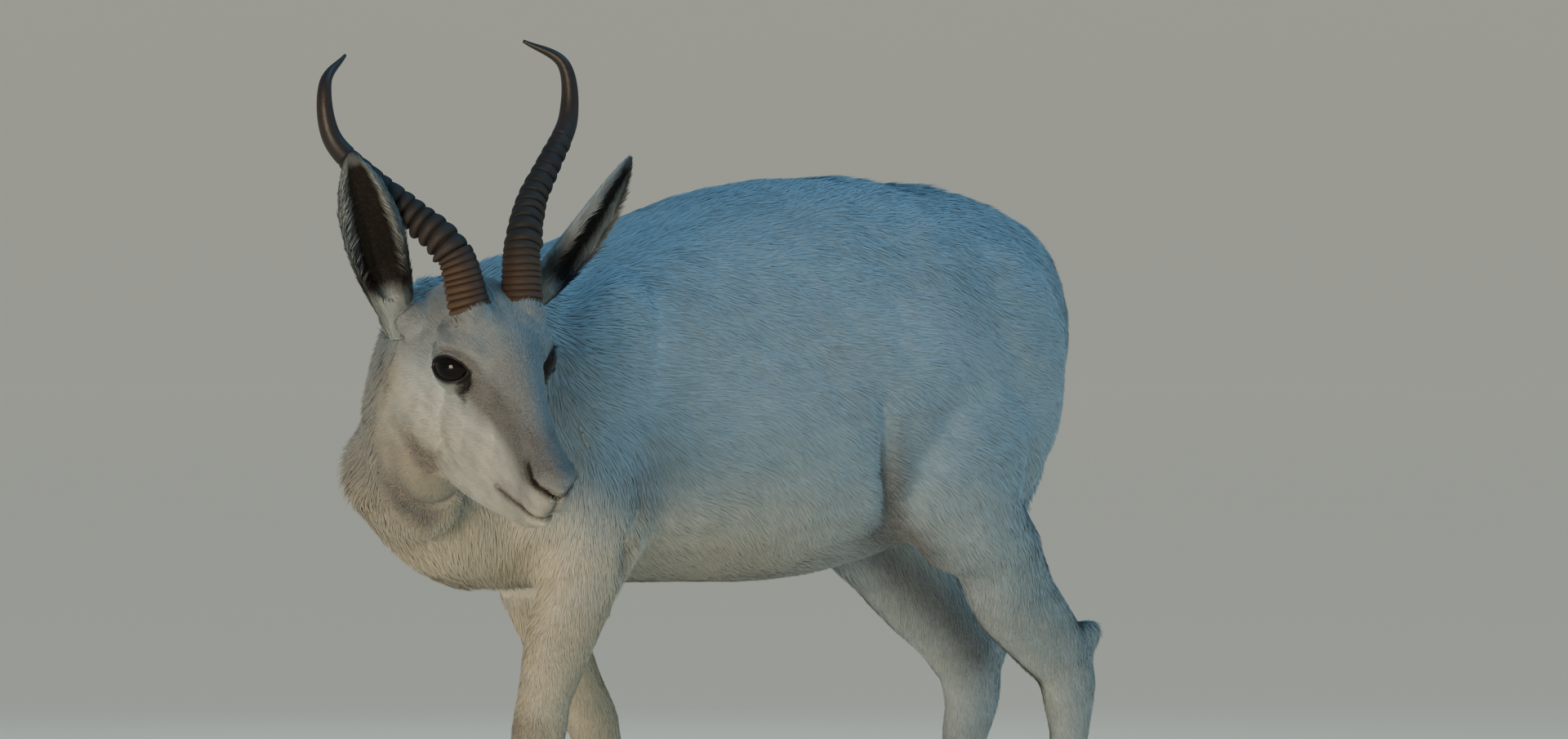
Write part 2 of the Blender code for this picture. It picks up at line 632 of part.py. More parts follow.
def claw(name, toe, side, plane, collection):
    """One of a foot's two narrow pointed hooves, flat on the floor."""
    levels = [(0.0, 1.00, 1.06, 0.0), (0.3, 1.0, 1.07, 0.03), (1.2, 0.92, 1.03, 0.28),
              (2.4, 0.82, 0.98, 0.66), (3.4, 0.76, 0.94, 1.0), (4.6, 0.72, 0.91, 1.45)]
    bm = bmesh.new()
    sides = 12
    rings = []
    for height, length, width, back in levels:
        ring = []
        half = CLAW_LENGTH / 2 * length
        for k in range(sides):
            angle = 2 * math.pi * k / sides
            taper = 0.30 + 0.70 * math.sqrt(math.sin((math.cos(angle) + 1) * math.pi / 4))
            x = toe[0] + CLAW_LENGTH / 2 + back * CM + half * math.cos(angle)
            y = toe[1] + side * CLAW_SPREAD + CLAW_HALF_WIDTH * width * math.sin(angle) * taper
            ring.append(bm.verts.new((x, y, height * CM)))
        rings.append(ring)
    for near, far in zip(rings, rings[1:]):
        for k in range(sides):
            bm.faces.new((near[k - 1], near[k], far[k], far[k - 1]))
    bm.faces.new(rings[0][::-1])
    bm.faces.new(rings[-1])
    hoof = new_object(name, bm, collection)
    boolean(hoof, plane, "DIFFERENCE")
    keep_largest(hoof)
    return hoof


def tail(collection):
    """A thin tail that hangs close behind the rump, with a tuft at its end."""
    line = [
        Station(38.5, 0.2, 72.0, 1.9, 1.9),
        Station(42.4, 0.6, 71.4, 1.6, 1.7),
        Station(44.6, 1.2, 68.6, 1.2, 1.2),
        Station(45.0, 1.8, 63.0, 0.9, 0.9),
        Station(43.4, 2.3, 57.0, 0.8, 0.8),
        Station(42.2, 2.6, 52.0, 1.2, 1.1),
        Station(41.4, 2.6, 48.0, 1.1, 1.0),
        Station(41.0, 2.6, 45.0, 0.5, 0.5),
        Station(40.8, 2.6, 43.2, 0.1, 0.1),
    ]
    bm = bmesh.new()
    loft(bm, line, BODY, FORE_AFT, sides=10, steps=2)
    return new_object("tail", bm, collection)


def material(name, colour, roughness, metallic=0.0):
    """A plain Principled material."""
    made = bpy.data.materials.new(name)
    made.use_nodes = True
    shader = made.node_tree.nodes["Principled BSDF"]
    shader.inputs["Base Color"].default_value = (*colour, 1)
    shader.inputs["Roughness"].default_value = roughness
    shader.inputs["Metallic"].default_value = metallic
    made.diffuse_color = (*colour, 1)
    return made


def half_space(name, centre, normal, guides):
    """A box over a plane, on the side of its normal."""
    bm = bmesh.new()
    turn = UP.rotation_difference(normal).to_matrix().to_4x4()
    deep = 0.5
    place = Matrix.Translation(centre + normal * deep / 2) @ turn @ Matrix.Diagonal((deep, deep, deep, 1))
    bmesh.ops.create_cube(bm, size=1, matrix=place)
    return guide(new_object(name, bm, guides))


def coronet(leg):
    """The middle of the plane where a leg's flesh ends and its claws begin."""
    return Vector((leg[-2].x * CM, leg[-2].y * CM, CORONET_HEIGHT))


def part_body(body, guides):
    """Thin cuts between torso, neck, head and legs, and the ends of the feet cut off flat."""
    for label, leg in LEGS.items():
        below = coronet(leg) + CORONET_TILT * GAP
        bm = bmesh.new()
        turn = UP.rotation_difference(-CORONET_TILT).to_matrix().to_4x4()
        place = Matrix.Translation(below - CORONET_TILT * 0.04) @ turn @ Matrix.Diagonal((0.1, 0.1, 0.08, 1))
        bmesh.ops.create_cube(bm, size=1, matrix=place)
        boolean(body, guide(new_object("sole_cut_" + label, bm, guides)), "DIFFERENCE")
    level = Matrix.Translation
    thigh_plane = level(THIGH_CUT) @ Matrix.Rotation(-math.radians(THIGH_CUT_SLOPE), 4, "Y")
    middle = Matrix.Rotation(math.radians(90), 4, "X")
    cuts = {
        "neck_base": (level((-0.285, 0, 0.60)) @ Matrix.Rotation(math.radians(70), 4, "Y"), (0.8, 0.8)),
        "head": (head_cut_frame(), (0.36, 0.24)),
        "forelegs": (level((-0.20, 0, FORELEG_CUT)), (0.40, 0.40)),
        "knees": (level((-0.20, 0, KNEE_CUT)), (0.40, 0.40)),
        "thighs": (thigh_plane, (0.54, 0.50)),
        "between_thighs": (thigh_plane @ level((0, 0, -0.13)) @ middle, (0.54, 0.26)),
        "hocks": (level((0.38, 0, HOCK_CUT)), (0.30, 0.40)),
    }
    for name, (place, size) in cuts.items():
        boolean(body, slab("cut_" + name, place, size, guides), "DIFFERENCE")


def head_cut_frame():
    """The plane behind the jaws and the poll, whose own z looks out of the face."""
    tilt = Matrix.Rotation(math.radians(90 - HEAD_CUT_LEAN), 4, "Y")
    return HEAD_POSE @ Matrix.Translation(Vector(HEAD_CUT) * HEAD_SCALE * CM) @ tilt


def name_pieces(body, collection):
    """One object for each piece of the parted body, named by the place that it holds."""
    places = {
        "torso": (0, 0, 60),
        "neck": (-37, -2, 60),
        "head_rough": tuple(on_head(2, 0, -2) / CM),
    }
    for label, leg in LEGS.items():
        places[label + "_upper"] = (leg[3].x, leg[3].y, leg[3].z - (4 if "fore" in label else 0))
        places[label + "_lower"] = (leg[-6].x, leg[-6].y, leg[-6].z)
    pieces = islands(body)
    points = np.array([tuple(vertex.co) for vertex in body.data.vertices]) / CM
    middles = []
    for faces in pieces:
        used = sorted({index for face in faces for index in body.data.polygons[face].vertices})
        middles.append((points[used].min(axis=0) + points[used].max(axis=0)) / 2)
    nodes = {}
    for name, place in places.items():
        nearest = min(range(len(pieces)), key=lambda i: np.linalg.norm(middles[i] - np.array(place)))
        piece = bpy.data.objects.new(name, body.data.copy())
        collection.objects.link(piece)
        keep_faces(piece, pieces[nearest])
        nodes[name] = piece
    bpy.data.objects.remove(body)
    return nodes


def paint(name, obj):
    """Each node's own material."""
    kind = name.split("_")[0]
    colour, roughness = COLOURS.get(kind, COLOURS["coat"])
    obj.data.materials.clear()
    obj.data.materials.append(material(name + "_look", colour, roughness))
    obj.data.shade_smooth()
    obj.data.set_sharp_from_angle(angle=math.radians(40))


def stand_on_origin(objects):
    """Move the animal so that the origin is on the floor, below the middle of its box."""
    points = np.array([tuple(vertex.co) for obj in objects for vertex in obj.data.vertices])
    low, high = points.min(axis=0), points.max(axis=0)
    shift = Matrix.Translation((-(low[0] + high[0]) / 2, -(low[1] + high[1]) / 2, -low[2]))
    for obj in objects:
        obj.data.transform(shift)


def build():
    for old in list(bpy.data.objects):
        bpy.data.objects.remove(old, do_unlink=True)
    springbok = bpy.data.collections.new("springbok")
    guides = bpy.data.collections.new("guides")
    for collection in (springbok, guides):
        bpy.context.scene.collection.children.link(collection)

    # Body skin, parted by thin cuts
    bm = bmesh.new()
    body_flesh(bm)
    head_flesh(bm)
    body = new_object("body", bm, springbok)
    blend(body, BODY_VOXEL, BODY_ROUNDS)
    thin_out(body, BODY_TRIANGLES)
    part_body(body, guides)
    nodes = name_pieces(body, springbok)
    bpy.data.objects.remove(nodes.pop("head_rough"))

    # Head at a finer grain, with its lids, mouth and nostrils carved in
    bm = bmesh.new()
    loft(bm, NECK[3:], BODY, UP, sides=32)
    head_flesh(bm)
    head = new_object("head", bm, springbok)
    blend(head, HEAD_VOXEL, HEAD_ROUNDS)
    cut = head_cut_frame()
    facing = cut.to_3x3() @ UP
    boolean(head, half_space("behind_head", cut.translation + facing * GAP / 2, -facing, guides),
            "DIFFERENCE")
    keep_largest(head)
    thin_out(head, HEAD_TRIANGLES)
    eyelids(head, guides)
    mouth_and_nostrils(head, guides)
    keep_largest(head)
    nodes["head"] = head

    # What grows from the head ends on its surface
    clearance = swollen(head, GAP, guides)
    neck_clearance = swollen(nodes["neck"], GAP, guides)
    for side, label in ((-1, "right"), (1, "left")):
        centre, _ = eye_place(side)
        nodes["eye_" + label] = sphere("eye_" + label, centre, EYE_RADIUS, springbok, 18)
        nodes["horn_" + label] = horn("horn_" + label, side, springbok)
        root, tip, opening = EARS[label]
        nodes["ear_" + label] = ear("ear_" + label, on_head(*root), on_head(*tip),
                                    head_direction(*opening), springbok, guides)
        for name in ("horn_" + label, "ear_" + label):
            boolean(nodes[name], clearance, "DIFFERENCE")
            boolean(nodes[name], neck_clearance, "DIFFERENCE")
            keep_largest(nodes[name])

    nodes["tail"] = tail(springbok)
    boolean(nodes["tail"], swollen(nodes["torso"], GAP, guides), "DIFFERENCE")
    keep_largest(nodes["tail"])

    for label, leg in LEGS.items():
        ankle = coronet(leg)
        plane = half_space("above_claws_" + label, ankle, CORONET_TILT, guides)
        toe = (leg[-2].x * CM - CLAW_TOE_REACH, leg[-2].y * CM)
        for side, place in ((-1, "inner" if label.endswith("right") else "outer"),
                            (1, "outer" if label.endswith("right") else "inner")):
            name = "hoof_" + label + "_" + place
            nodes[name] = claw(name, toe, side, plane, springbok)

    for name, obj in nodes.items():
        clean(obj)
        paint(name, obj)
    stand_on_origin(list(nodes.values()))
    for obj in list(guides.objects):
        bpy.data.objects.remove(obj)


build()
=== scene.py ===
"""A white springbok ram, dressed: one skin, its coat in tufts, lids, eyes, ringed horns and hooves.

Head measures are in head units of HEAD_UNIT metres, in the head's own frame: x to the nose, y to the
animal's left, z up. Body measures are in centimetres from a point on the floor below mid-body, with
the animal facing -X and its left side at -Y. Everything else is in metres.
"""

import math

import bmesh
import bpy
import numpy as np
from bpy.props import FloatProperty, FloatVectorProperty, IntProperty, PointerProperty
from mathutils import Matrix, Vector


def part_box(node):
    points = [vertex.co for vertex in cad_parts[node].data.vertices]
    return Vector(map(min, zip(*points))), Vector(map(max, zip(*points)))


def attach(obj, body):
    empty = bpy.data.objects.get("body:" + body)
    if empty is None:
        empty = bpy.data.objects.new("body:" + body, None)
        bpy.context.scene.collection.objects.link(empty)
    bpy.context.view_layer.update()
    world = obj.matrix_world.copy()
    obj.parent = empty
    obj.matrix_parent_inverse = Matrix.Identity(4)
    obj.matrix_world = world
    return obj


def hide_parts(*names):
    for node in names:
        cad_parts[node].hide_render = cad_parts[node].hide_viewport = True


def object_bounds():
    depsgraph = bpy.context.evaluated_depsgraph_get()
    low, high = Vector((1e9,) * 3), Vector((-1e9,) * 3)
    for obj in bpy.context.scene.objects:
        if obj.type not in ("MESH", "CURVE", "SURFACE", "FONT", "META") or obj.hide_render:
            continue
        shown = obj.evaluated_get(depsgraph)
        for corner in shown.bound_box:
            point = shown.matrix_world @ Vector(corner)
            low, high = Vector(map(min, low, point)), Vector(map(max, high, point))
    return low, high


bl_info = {
    "name": "Springbok ram",
    "version": (1, 0, 0),
    "blender": (4, 5, 0),
    "location": "3D View > Sidebar > Springbok",
    "description": "Skin, coat, horns, eyes and hooves of a standing white springbok ram",
    "category": "Object",
}

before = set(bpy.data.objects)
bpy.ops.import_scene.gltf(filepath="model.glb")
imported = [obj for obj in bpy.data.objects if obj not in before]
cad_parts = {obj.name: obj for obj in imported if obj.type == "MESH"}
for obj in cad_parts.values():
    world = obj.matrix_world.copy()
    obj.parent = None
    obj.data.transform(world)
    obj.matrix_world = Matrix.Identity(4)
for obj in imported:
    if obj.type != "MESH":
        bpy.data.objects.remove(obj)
CAD_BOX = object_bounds()

SEED = 11
SIDES = ("left", "right")
SIGN = {"left": 1, "right": -1}
LEGS = ("foreleg_left", "foreleg_right", "hindleg_left", "hindleg_right")
FLESH = ["torso", "neck", "head", "tail"] + [leg + end for leg in LEGS for end in ("_upper", "_lower")]

# The head's pose: turned left from -X, its nose dropped and its left side raised
HEAD_UNIT = 0.0109
HEAD_TURN = math.radians(80.6)
HEAD_DROP = math.radians(32.7)
HEAD_TILT = math.radians(5.5)
EYES_ABOVE_ORIGIN = 0.15
EYES_CENTRE = np.array((-0.447, -0.200, 0.639))
EYE_FACING = np.array((0.55, 0.78, 0.25))
EYE_CORNER = np.array((0.83, -0.55, 0.18))
EYE_HALF_LENGTH = 0.0290
EYE_HALF_HEIGHT = 0.0126
EYE_POINTEDNESS = 1.6
HEAD_CUT = np.array((-6.2, 0, -3.0))
HEAD_CUT_FACING = np.array((0.936, 0, 0.352))
MUZZLE_MIDDLE = -0.35

# Where the picture was taken from, and the middle of the picture, in metres from the body's floor point
CAMERA_PLACE = (-5.785, -6.894, 0.787)
CAMERA_TARGET = (0.0463, -0.0389, 0.6254)
# Soft lights: name, place from the body's middle, size, strength and colour
LIGHTS = [
    ("warm_front", (-3.9, -1.8, 0.4), 1.4, 92, (1.0, 0.84, 0.62)),
    ("cool_top", (1.0, -1.6, 4.0), 3.2, 50, (0.24, 0.63, 1.0)),
    ("cool_back", (2.6, 3.6, 2.2), 2.6, 24, (0.36, 0.70, 1.0)),
    ("soft_side", (3.0, -4.0, 1.6), 3.0, 12, (0.34, 0.70, 1.0)),
]

# Lines carved or marked on the face, whose second number counts outward from its middle
NOSTRIL = [(12.4, 1.9, -2.0), (13.8, 1.8, -2.8), (14.7, 1.65, -2.85), (15.25, 1.1, -2.95), (15.6, 0.4, -3.35),
           (15.6, 0.0, -3.45)]
MOUTH = [(8.7, 1.95, -6.9), (10.8, 1.6, -6.8), (12.9, 1.05, -6.7), (13.6, 0.6, -6.65), (14.0, 0.0, -6.6)]
CLEFT = [(15.6, 0.0, -3.4), (15.55, 0.0, -4.0), (15.3, 0.0, -4.8), (14.9, 0.0, -5.8), (14.3, 0.0, -6.5)]
TEAR_LINE = [(2.25, 3.5, 0.8), (2.45, 3.35, -0.1), (2.4, 3.4, -1.0), (2.5, 3.5, -1.8)]
FACE_BAND = [(3.7, 2.8, -0.4), (5.5, 2.5, -1.0), (8.3, 2.0, -1.5), (10.9, 1.8, -1.9), (12.2, 1.9, -2.2)]
CHEEK_LINE = [(0.5, 4.5, -6.7), (2.6, 3.9, -8.0), (5.0, 3.5, -8.4), (7.2, 2.9, -7.8)]
JAW_CREASE = [(-3.2, 6.9, -6.9), (-1.9, 6.4, -7.4), (-1.0, 5.9, -8.1), (-0.1, 4.9, -9.4), (0.2, 3.8, -10.6)]
LIP_SHADOW = [(11.5, 1.9, -5.6), (13.6, 1.3, -5.0), (14.8, 0.4, -4.8)]
# Painted shade on the inside of the thighs, and a dark place on the left knee, in centimetres
INNER_THIGH = [(10.5, 11.5, 46), (24, 5.6, 45), (34.7, 5.6, 38.5), (39, 5.6, 34)]
KNEE_PATCH = (-31.5, -8.5, 28.5)
KNEE_PATCH_SIZE = (2.0, 2.5, 2.2)
# Creases and hollows of the body's left side, in centimetres
ELBOW_CREASE = [(-21.9, -14, 54), (-21.1, -13.8, 50.6), (-21.8, -13.6, 48.2), (-22.7, -13.3, 46.3),
                (-22.3, -12.3, 43.9)]
ELBOW_HOLLOW = [(-20.6, -14.4, 57), (-20.6, -14, 51)]
FLANK_CREASE = [(6.6, -17, 58.5), (7.3, -16.8, 55.8), (8.1, -16.1, 52.8), (9.5, -14.7, 50),
                (11.2, -12.7, 47.4)]
FLANK_HOLLOW = [(7.6, -17, 59), (10, -14.7, 50)]
THROAT_CREASE = [(-50.1, -11.7, 58.6), (-49.4, -11, 55.7), (-48.3, -10, 53.3), (-46.3, -9.2, 51),
                 (-43.6, -9.4, 50.1), (-42.3, -10.3, 51)]
NECK_CREASE_OUTER = [(-49.6, -11.5, 62.5), (-49.8, -13.4, 59.0), (-47.6, -14.0, 55.0)]
NECK_CREASE_INNER = [(-49.4, -8.6, 60.0), (-49.2, -7.4, 55.6), (-47.8, -8.3, 51.8), (-44.3, -8.7, 48.6)]
# Each fold with its width and depth in centimetres, and whether the right side has it too
FOLDS = [
    (ELBOW_CREASE, 1.0, 0.9, True),
    (ELBOW_HOLLOW, 3.2, 0.5, True),
    (FLANK_CREASE, 1.1, 1.2, False),
    (FLANK_HOLLOW, 2.6, 0.5, False),
    (THROAT_CREASE, 1.0, 0.6, False),
    (NECK_CREASE_OUTER, 1.1, 0.6, False),
    (NECK_CREASE_INNER, 1.2, 0.6, False),
]
# Grooves of the face in head units: line, width, depth, and the middle that its two sides mirror
GROOVES = [
    (NOSTRIL, 0.26, 0.75, MUZZLE_MIDDLE),
    (MOUTH, 0.20, 0.40, MUZZLE_MIDDLE),
    (TEAR_LINE, 0.28, 0.20, 0.0),
    (CHEEK_LINE, 0.55, 0.22, 0.0),
    (JAW_CREASE, 0.50, 0.45, 0.0),
]
# Lips and the nostrils' wings, which swell beside their slits: line, offset, width and height
SWELLINGS = [
    (NOSTRIL, (-0.3, 0.25, 0.55), 0.45, 0.20),
    (MOUTH, (0.1, 0.1, 0.6), 0.50, 0.12),
    (MOUTH, (0.0, 0.1, -0.55), 0.45, 0.10),
]

# Horn centre line in the head frame from inside the skull, and its radius as a share of the base radius
HORN_LINE = [
    (-0.75, 2.06, 3.0, 0.45),
    (-0.6, 2.1, 3.2, 1.00),
    (-2.1, 2.5, 5.1, 1.00),
    (-5.3, 3.3, 8.6, 0.86),
    (-9.4, 5.7, 10.1, 0.72),
    (-12.6, 8.7, 11.9, 0.60),
    (-15.5, 11.4, 14.3, 0.48),
    (-18.3, 11.5, 18.0, 0.31),
    (-21.0, 8.6, 19.0, 0.08),
]
# Steps drawn for each span of that line, whose first span lies inside the skull
HORN_STEPS = 24
# Shares of the way along a horn where its close rings and its wide rings end
CLOSE_RINGS_END = 0.23
WIDE_RINGS_END = 0.645
# Where the cross sections of one ring lie between its two grooves
RING_SECTIONS = np.array((0, 0.04, 0.10, 0.2, 0.35, 0.5, 0.65, 0.8, 0.9, 0.96))
# Front of a horn's foot in the head frame, where thick hair stands up, and how far round it
HORN_FOOT = (0.4, 2.3, 5.0)
HORN_FOOT_REACH = 1.6
# Rings of the eyelids: size against the opening, height over the eyeball in metres, share of the way out
LID_PROFILE = [(0.88, -0.0030, 0.0), (0.94, -0.0002, 0.0), (0.975, 0.0009, 0.0), (1.01, 0.0016, 0.05),
               (1.06, 0.0021, 0.2), (1.13, 0.0022, 0.5), (1.22, 0.0017, 0.8), (1.34, -0.0006, 1.0)]
# Rings of a claw: height, length and width against its box, and how far its toe leans back
CLAW_RINGS = [(0.0, 0.96, 0.94, 0.02), (0.02, 1.0, 1.0, 0.0), (0.25, 0.93, 0.97, 0.06),
              (0.5, 0.85, 0.93, 0.14), (0.75, 0.79, 0.89, 0.20), (0.97, 0.74, 0.86, 0.25)]
# Root, tip and opening of each ear in the head frame
EARS = {
    "right": ((-7.2, -6.3, 0.9), (-11.6, -11.4, 15.0), (0.67, -0.50, 0.55)),
    "left": ((-7.4, 6.2, 0.8), (-10.4, 15.3, 13.0), (0.90, 0.40, -0.08)),
}


def unit(vectors):
    """Vectors scaled to length one."""
    vectors = np.asarray(vectors, dtype=float)
    return vectors / np.maximum(np.linalg.norm(vectors, axis=-1, keepdims=True), 1e-12)


def smooth(values, start, end):
    """A soft step from 0 at start to 1 at end."""
    t = np.clip((np.asarray(values, dtype=float) - start) / (end - start), 0, 1)
    return t * t * (3 - 2 * t)


def mix(a, b, share):
    """Between two numbers or arrays of them."""
    return a + (b - a) * share


def eye_ball(label):
    """Centre and radius of an eye, as the frame holds it."""
    low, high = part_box("eye_" + label)
    return np.array((low + high) / 2), (high.z - low.z) / 2


def head_axes():
    """The head's forward, left and up directions as rows."""
    heading = Vector((-math.cos(HEAD_TURN), -math.sin(HEAD_TURN), 0))
    up = Vector((0, 0, 1))
    forward = heading * math.cos(HEAD_DROP) - up * math.sin(HEAD_DROP)
    level = up.cross(heading)
    left = level * math.cos(HEAD_TILT) + forward.cross(level) * math.sin(HEAD_TILT)
    return np.array((forward, left, forward.cross(left)))


HEAD_AXES = head_axes()
HEAD_ORIGIN = ((eye_ball("left")[0] + eye_ball("right")[0]) / 2
               - HEAD_AXES[2] * EYES_ABOVE_ORIGIN * HEAD_UNIT)
BODY_ORIGIN = HEAD_ORIGIN - EYES_CENTRE


def to_head(points):
    """Places in the head's frame, in head units."""
    return (np.asarray(points) - HEAD_ORIGIN) @ HEAD_AXES.T / HEAD_UNIT


def from_head(places):
    """Points in metres from places in the head's frame."""
    return HEAD_ORIGIN + np.asarray(places, dtype=float) * HEAD_UNIT @ HEAD_AXES


def head_direction(x, y, z):
    """A direction of the head's frame as a unit vector."""
    return unit(np.array((x, y, z)) @ HEAD_AXES)


def to_body(points):
    """Places on the body, in centimetres."""
    return (np.asarray(points) - BODY_ORIGIN) * 100


def mirrored(line, sign):
    """A line of the face on one side of the muzzle's middle."""
    return [(x, MUZZLE_MIDDLE + sign * y, z) for x, y, z in line]


def line_distance(places, line):
    """How far each place is from a line of straight pieces, and how far along it the nearest point is."""
    best = np.full(len(places), 1e9)
    along = np.zeros(len(places))
    pieces = len(line) - 1
    for i in range(pieces):
        a, b = np.array(line[i], dtype=float), np.array(line[i + 1], dtype=float)
        t = np.clip((places - a) @ (b - a) / ((b - a) @ (b - a)), 0, 1)
        gap = np.linalg.norm(places - a - t[:, None] * (b - a), axis=1)
        nearer = gap < best
        best[nearer] = gap[nearer]
        along[nearer] = ((i + t) / pieces)[nearer]
    return best, along


def ripple(places, scale, seed):
    """Smooth noise between -1 and 1, from a few waves in random directions."""
    rng = np.random.default_rng(seed)
    total = np.zeros(len(places))
    for _ in range(7):
        wave = rng.normal(size=3) / scale
        total += np.sin(places @ wave + rng.uniform(0, 2 * math.pi))
    return np.clip(total / 3.2, -1, 1)


def curve_rows(rows, steps):
    """Rows of numbers joined by smooth curves, with steps pieces between neighbours."""
    table = np.array(rows, dtype=float)
    padded = np.vstack([2 * table[0] - table[1], table, 2 * table[-1] - table[-2]])
    result = []
    for i in range(1, len(padded) - 2):
        a, b, c, d = padded[i - 1:i + 3]
        for t in np.arange(steps) / steps:
            bend = 2 * b + (c - a) * t + (2 * a - 5 * b + 4 * c - d) * t * t
            result.append((bend + (3 * b - a - 3 * c + d) * t ** 3) / 2)
    result.append(table[-1])
    return np.array(result)


def mesh_object(name, points, *face_sets):
    """An object from points and from sets of faces, each set with its own number of corners."""
    mesh = bpy.data.meshes.new(name)
    sizes = np.concatenate([np.full(len(faces), faces.shape[1]) for faces in face_sets])
    corners = np.concatenate([faces.ravel() for faces in face_sets])
    mesh.vertices.add(len(points))
    mesh.vertices.foreach_set("co", np.asarray(points, dtype=np.float32).ravel())
    mesh.loops.add(len(corners))
    mesh.loops.foreach_set("vertex_index", corners.astype(np.int32))
    mesh.polygons.add(len(sizes))
    mesh.polygons.foreach_set("loop_start", (np.cumsum(sizes) - sizes).astype(np.int32))
    mesh.update(calc_edges=True)
    mesh.shade_smooth()
    obj = bpy.data.objects.new(name, mesh)
    bpy.context.scene.collection.objects.link(obj)
    return obj


def point_value(obj, name, values):
    """A number for each vertex that the materials read by name."""
    attribute = obj.data.attributes.new(name, "FLOAT", "POINT")
    attribute.data.foreach_set("value", np.asarray(values, dtype=np.float32))


def face_outward(obj, index, outward):
    """Turn a piece's faces over if the face with this index looks inward."""
    if obj.data.polygons[index].normal.dot(Vector(outward)) < 0:
        obj.data.flip_normals()


def finish_piece(obj, material, slot, *nodes):
    """Give a piece its material and let it stand for its nodes; the slot is not used."""
    obj.data.materials.append(material)
    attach(obj, "root")
    if nodes:
        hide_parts(*nodes)


def tube_faces(rings, sides):
    """Faces between rings of points, each ring closed on itself."""
    faces = []
    for i in range(rings - 1):
        here, there = i * sides, (i + 1) * sides
        for k in range(sides):
            nxt = (k + 1) % sides
            faces.append((here + k, here + nxt, there + nxt, there + k))
    return np.array(faces)


class Shade:
    """A socket of a material, which plain arithmetic extends with more nodes."""

    def __init__(self, tree, socket):
        self.tree = tree
        self.socket = socket

    def maths(self, operation, *values):
        return add_node(self.tree, "ShaderNodeMath", {"operation": operation}, dict(enumerate(values)))

    def __add__(self, other):
        return self.maths("ADD", self, other)

    __radd__ = __add__

    def __mul__(self, other):
        return self.maths("MULTIPLY", self, other)

    __rmul__ = __mul__

    def __sub__(self, other):
        return self.maths("SUBTRACT", self, other)

    def __rsub__(self, other):
        return self.maths("SUBTRACT", other, self)

    def clamped(self):
        return self.maths("MINIMUM", self.maths("MAXIMUM", self, 0.0), 1.0)

    def step(self, start, end):
        """A soft step of this value, from 0 at start to 1 at end."""
        return add_node(self.tree, "ShaderNodeMapRange", {"interpolation_type": "SMOOTHSTEP"},
                        {"Value": self, "From Min": start, "From Max": end})


def add_node(tree, kind, settings=None, links=None, output=0):
    """A node with its settings made first, then the values or links of its sockets."""
    node = tree.nodes.new(kind)
    for name, value in (settings or {}).items():
        setattr(node, name, value)
    for key, value in (links or {}).items():
        if isinstance(value, Shade):
            tree.links.new(value.socket, node.inputs[key])
        elif node.inputs[key].type == "RGBA":
            node.inputs[key].default_value = (*value, 1)
        else:
            node.inputs[key].default_value = value
    return Shade(tree, node.outputs[output])


class Material:
    """A Principled material whose nodes are added by name."""

    def __init__(self, name, **constants):
        self.made = bpy.data.materials.new(name)
        self.made.use_nodes = True
        self.tree = self.made.node_tree
        self.shader = self.tree.nodes["Principled BSDF"]
        for key, value in constants.items():
            self.set(key.replace("_", " "), value)

    def set(self, socket, value):
        if isinstance(value, Shade):
            self.tree.links.new(value.socket, self.shader.inputs[socket])
        elif isinstance(value, tuple):
            self.shader.inputs[socket].default_value = (*value, 1)
        else:
            self.shader.inputs[socket].default_value = value

    def attribute(self, name):
        return add_node(self.tree, "ShaderNodeAttribute", {"attribute_name": name}, output=2)

    def place(self):
        return add_node(self.tree, "ShaderNodeTexCoord", output=3)

    def noise(self, scale, detail=3.0, roughness=0.55, at=None):
        return add_node(self.tree, "ShaderNodeTexNoise", None,
                        {"Vector": at or self.place(), "Scale": scale, "Detail": detail,
                         "Roughness": roughness})

    def stretched(self, factors):
        """The place, scaled by its own factor along each axis."""
        return add_node(self.tree, "ShaderNodeVectorMath", {"operation": "MULTIPLY"},
                        {0: self.place(), 1: factors})

    def blend(self, share, a, b):
        """From colour a to colour b by a share."""
        return add_node(self.tree, "ShaderNodeMix", {"data_type": "RGBA", "clamp_factor": True},
                        {0: share, 6: a, 7: b}, output=2)

    def bump(self, height, strength, distance):
        made = add_node(self.tree, "ShaderNodeBump", None,
                        {"Height": height, "Strength": strength, "Distance": distance})
        self.set("Normal", made)


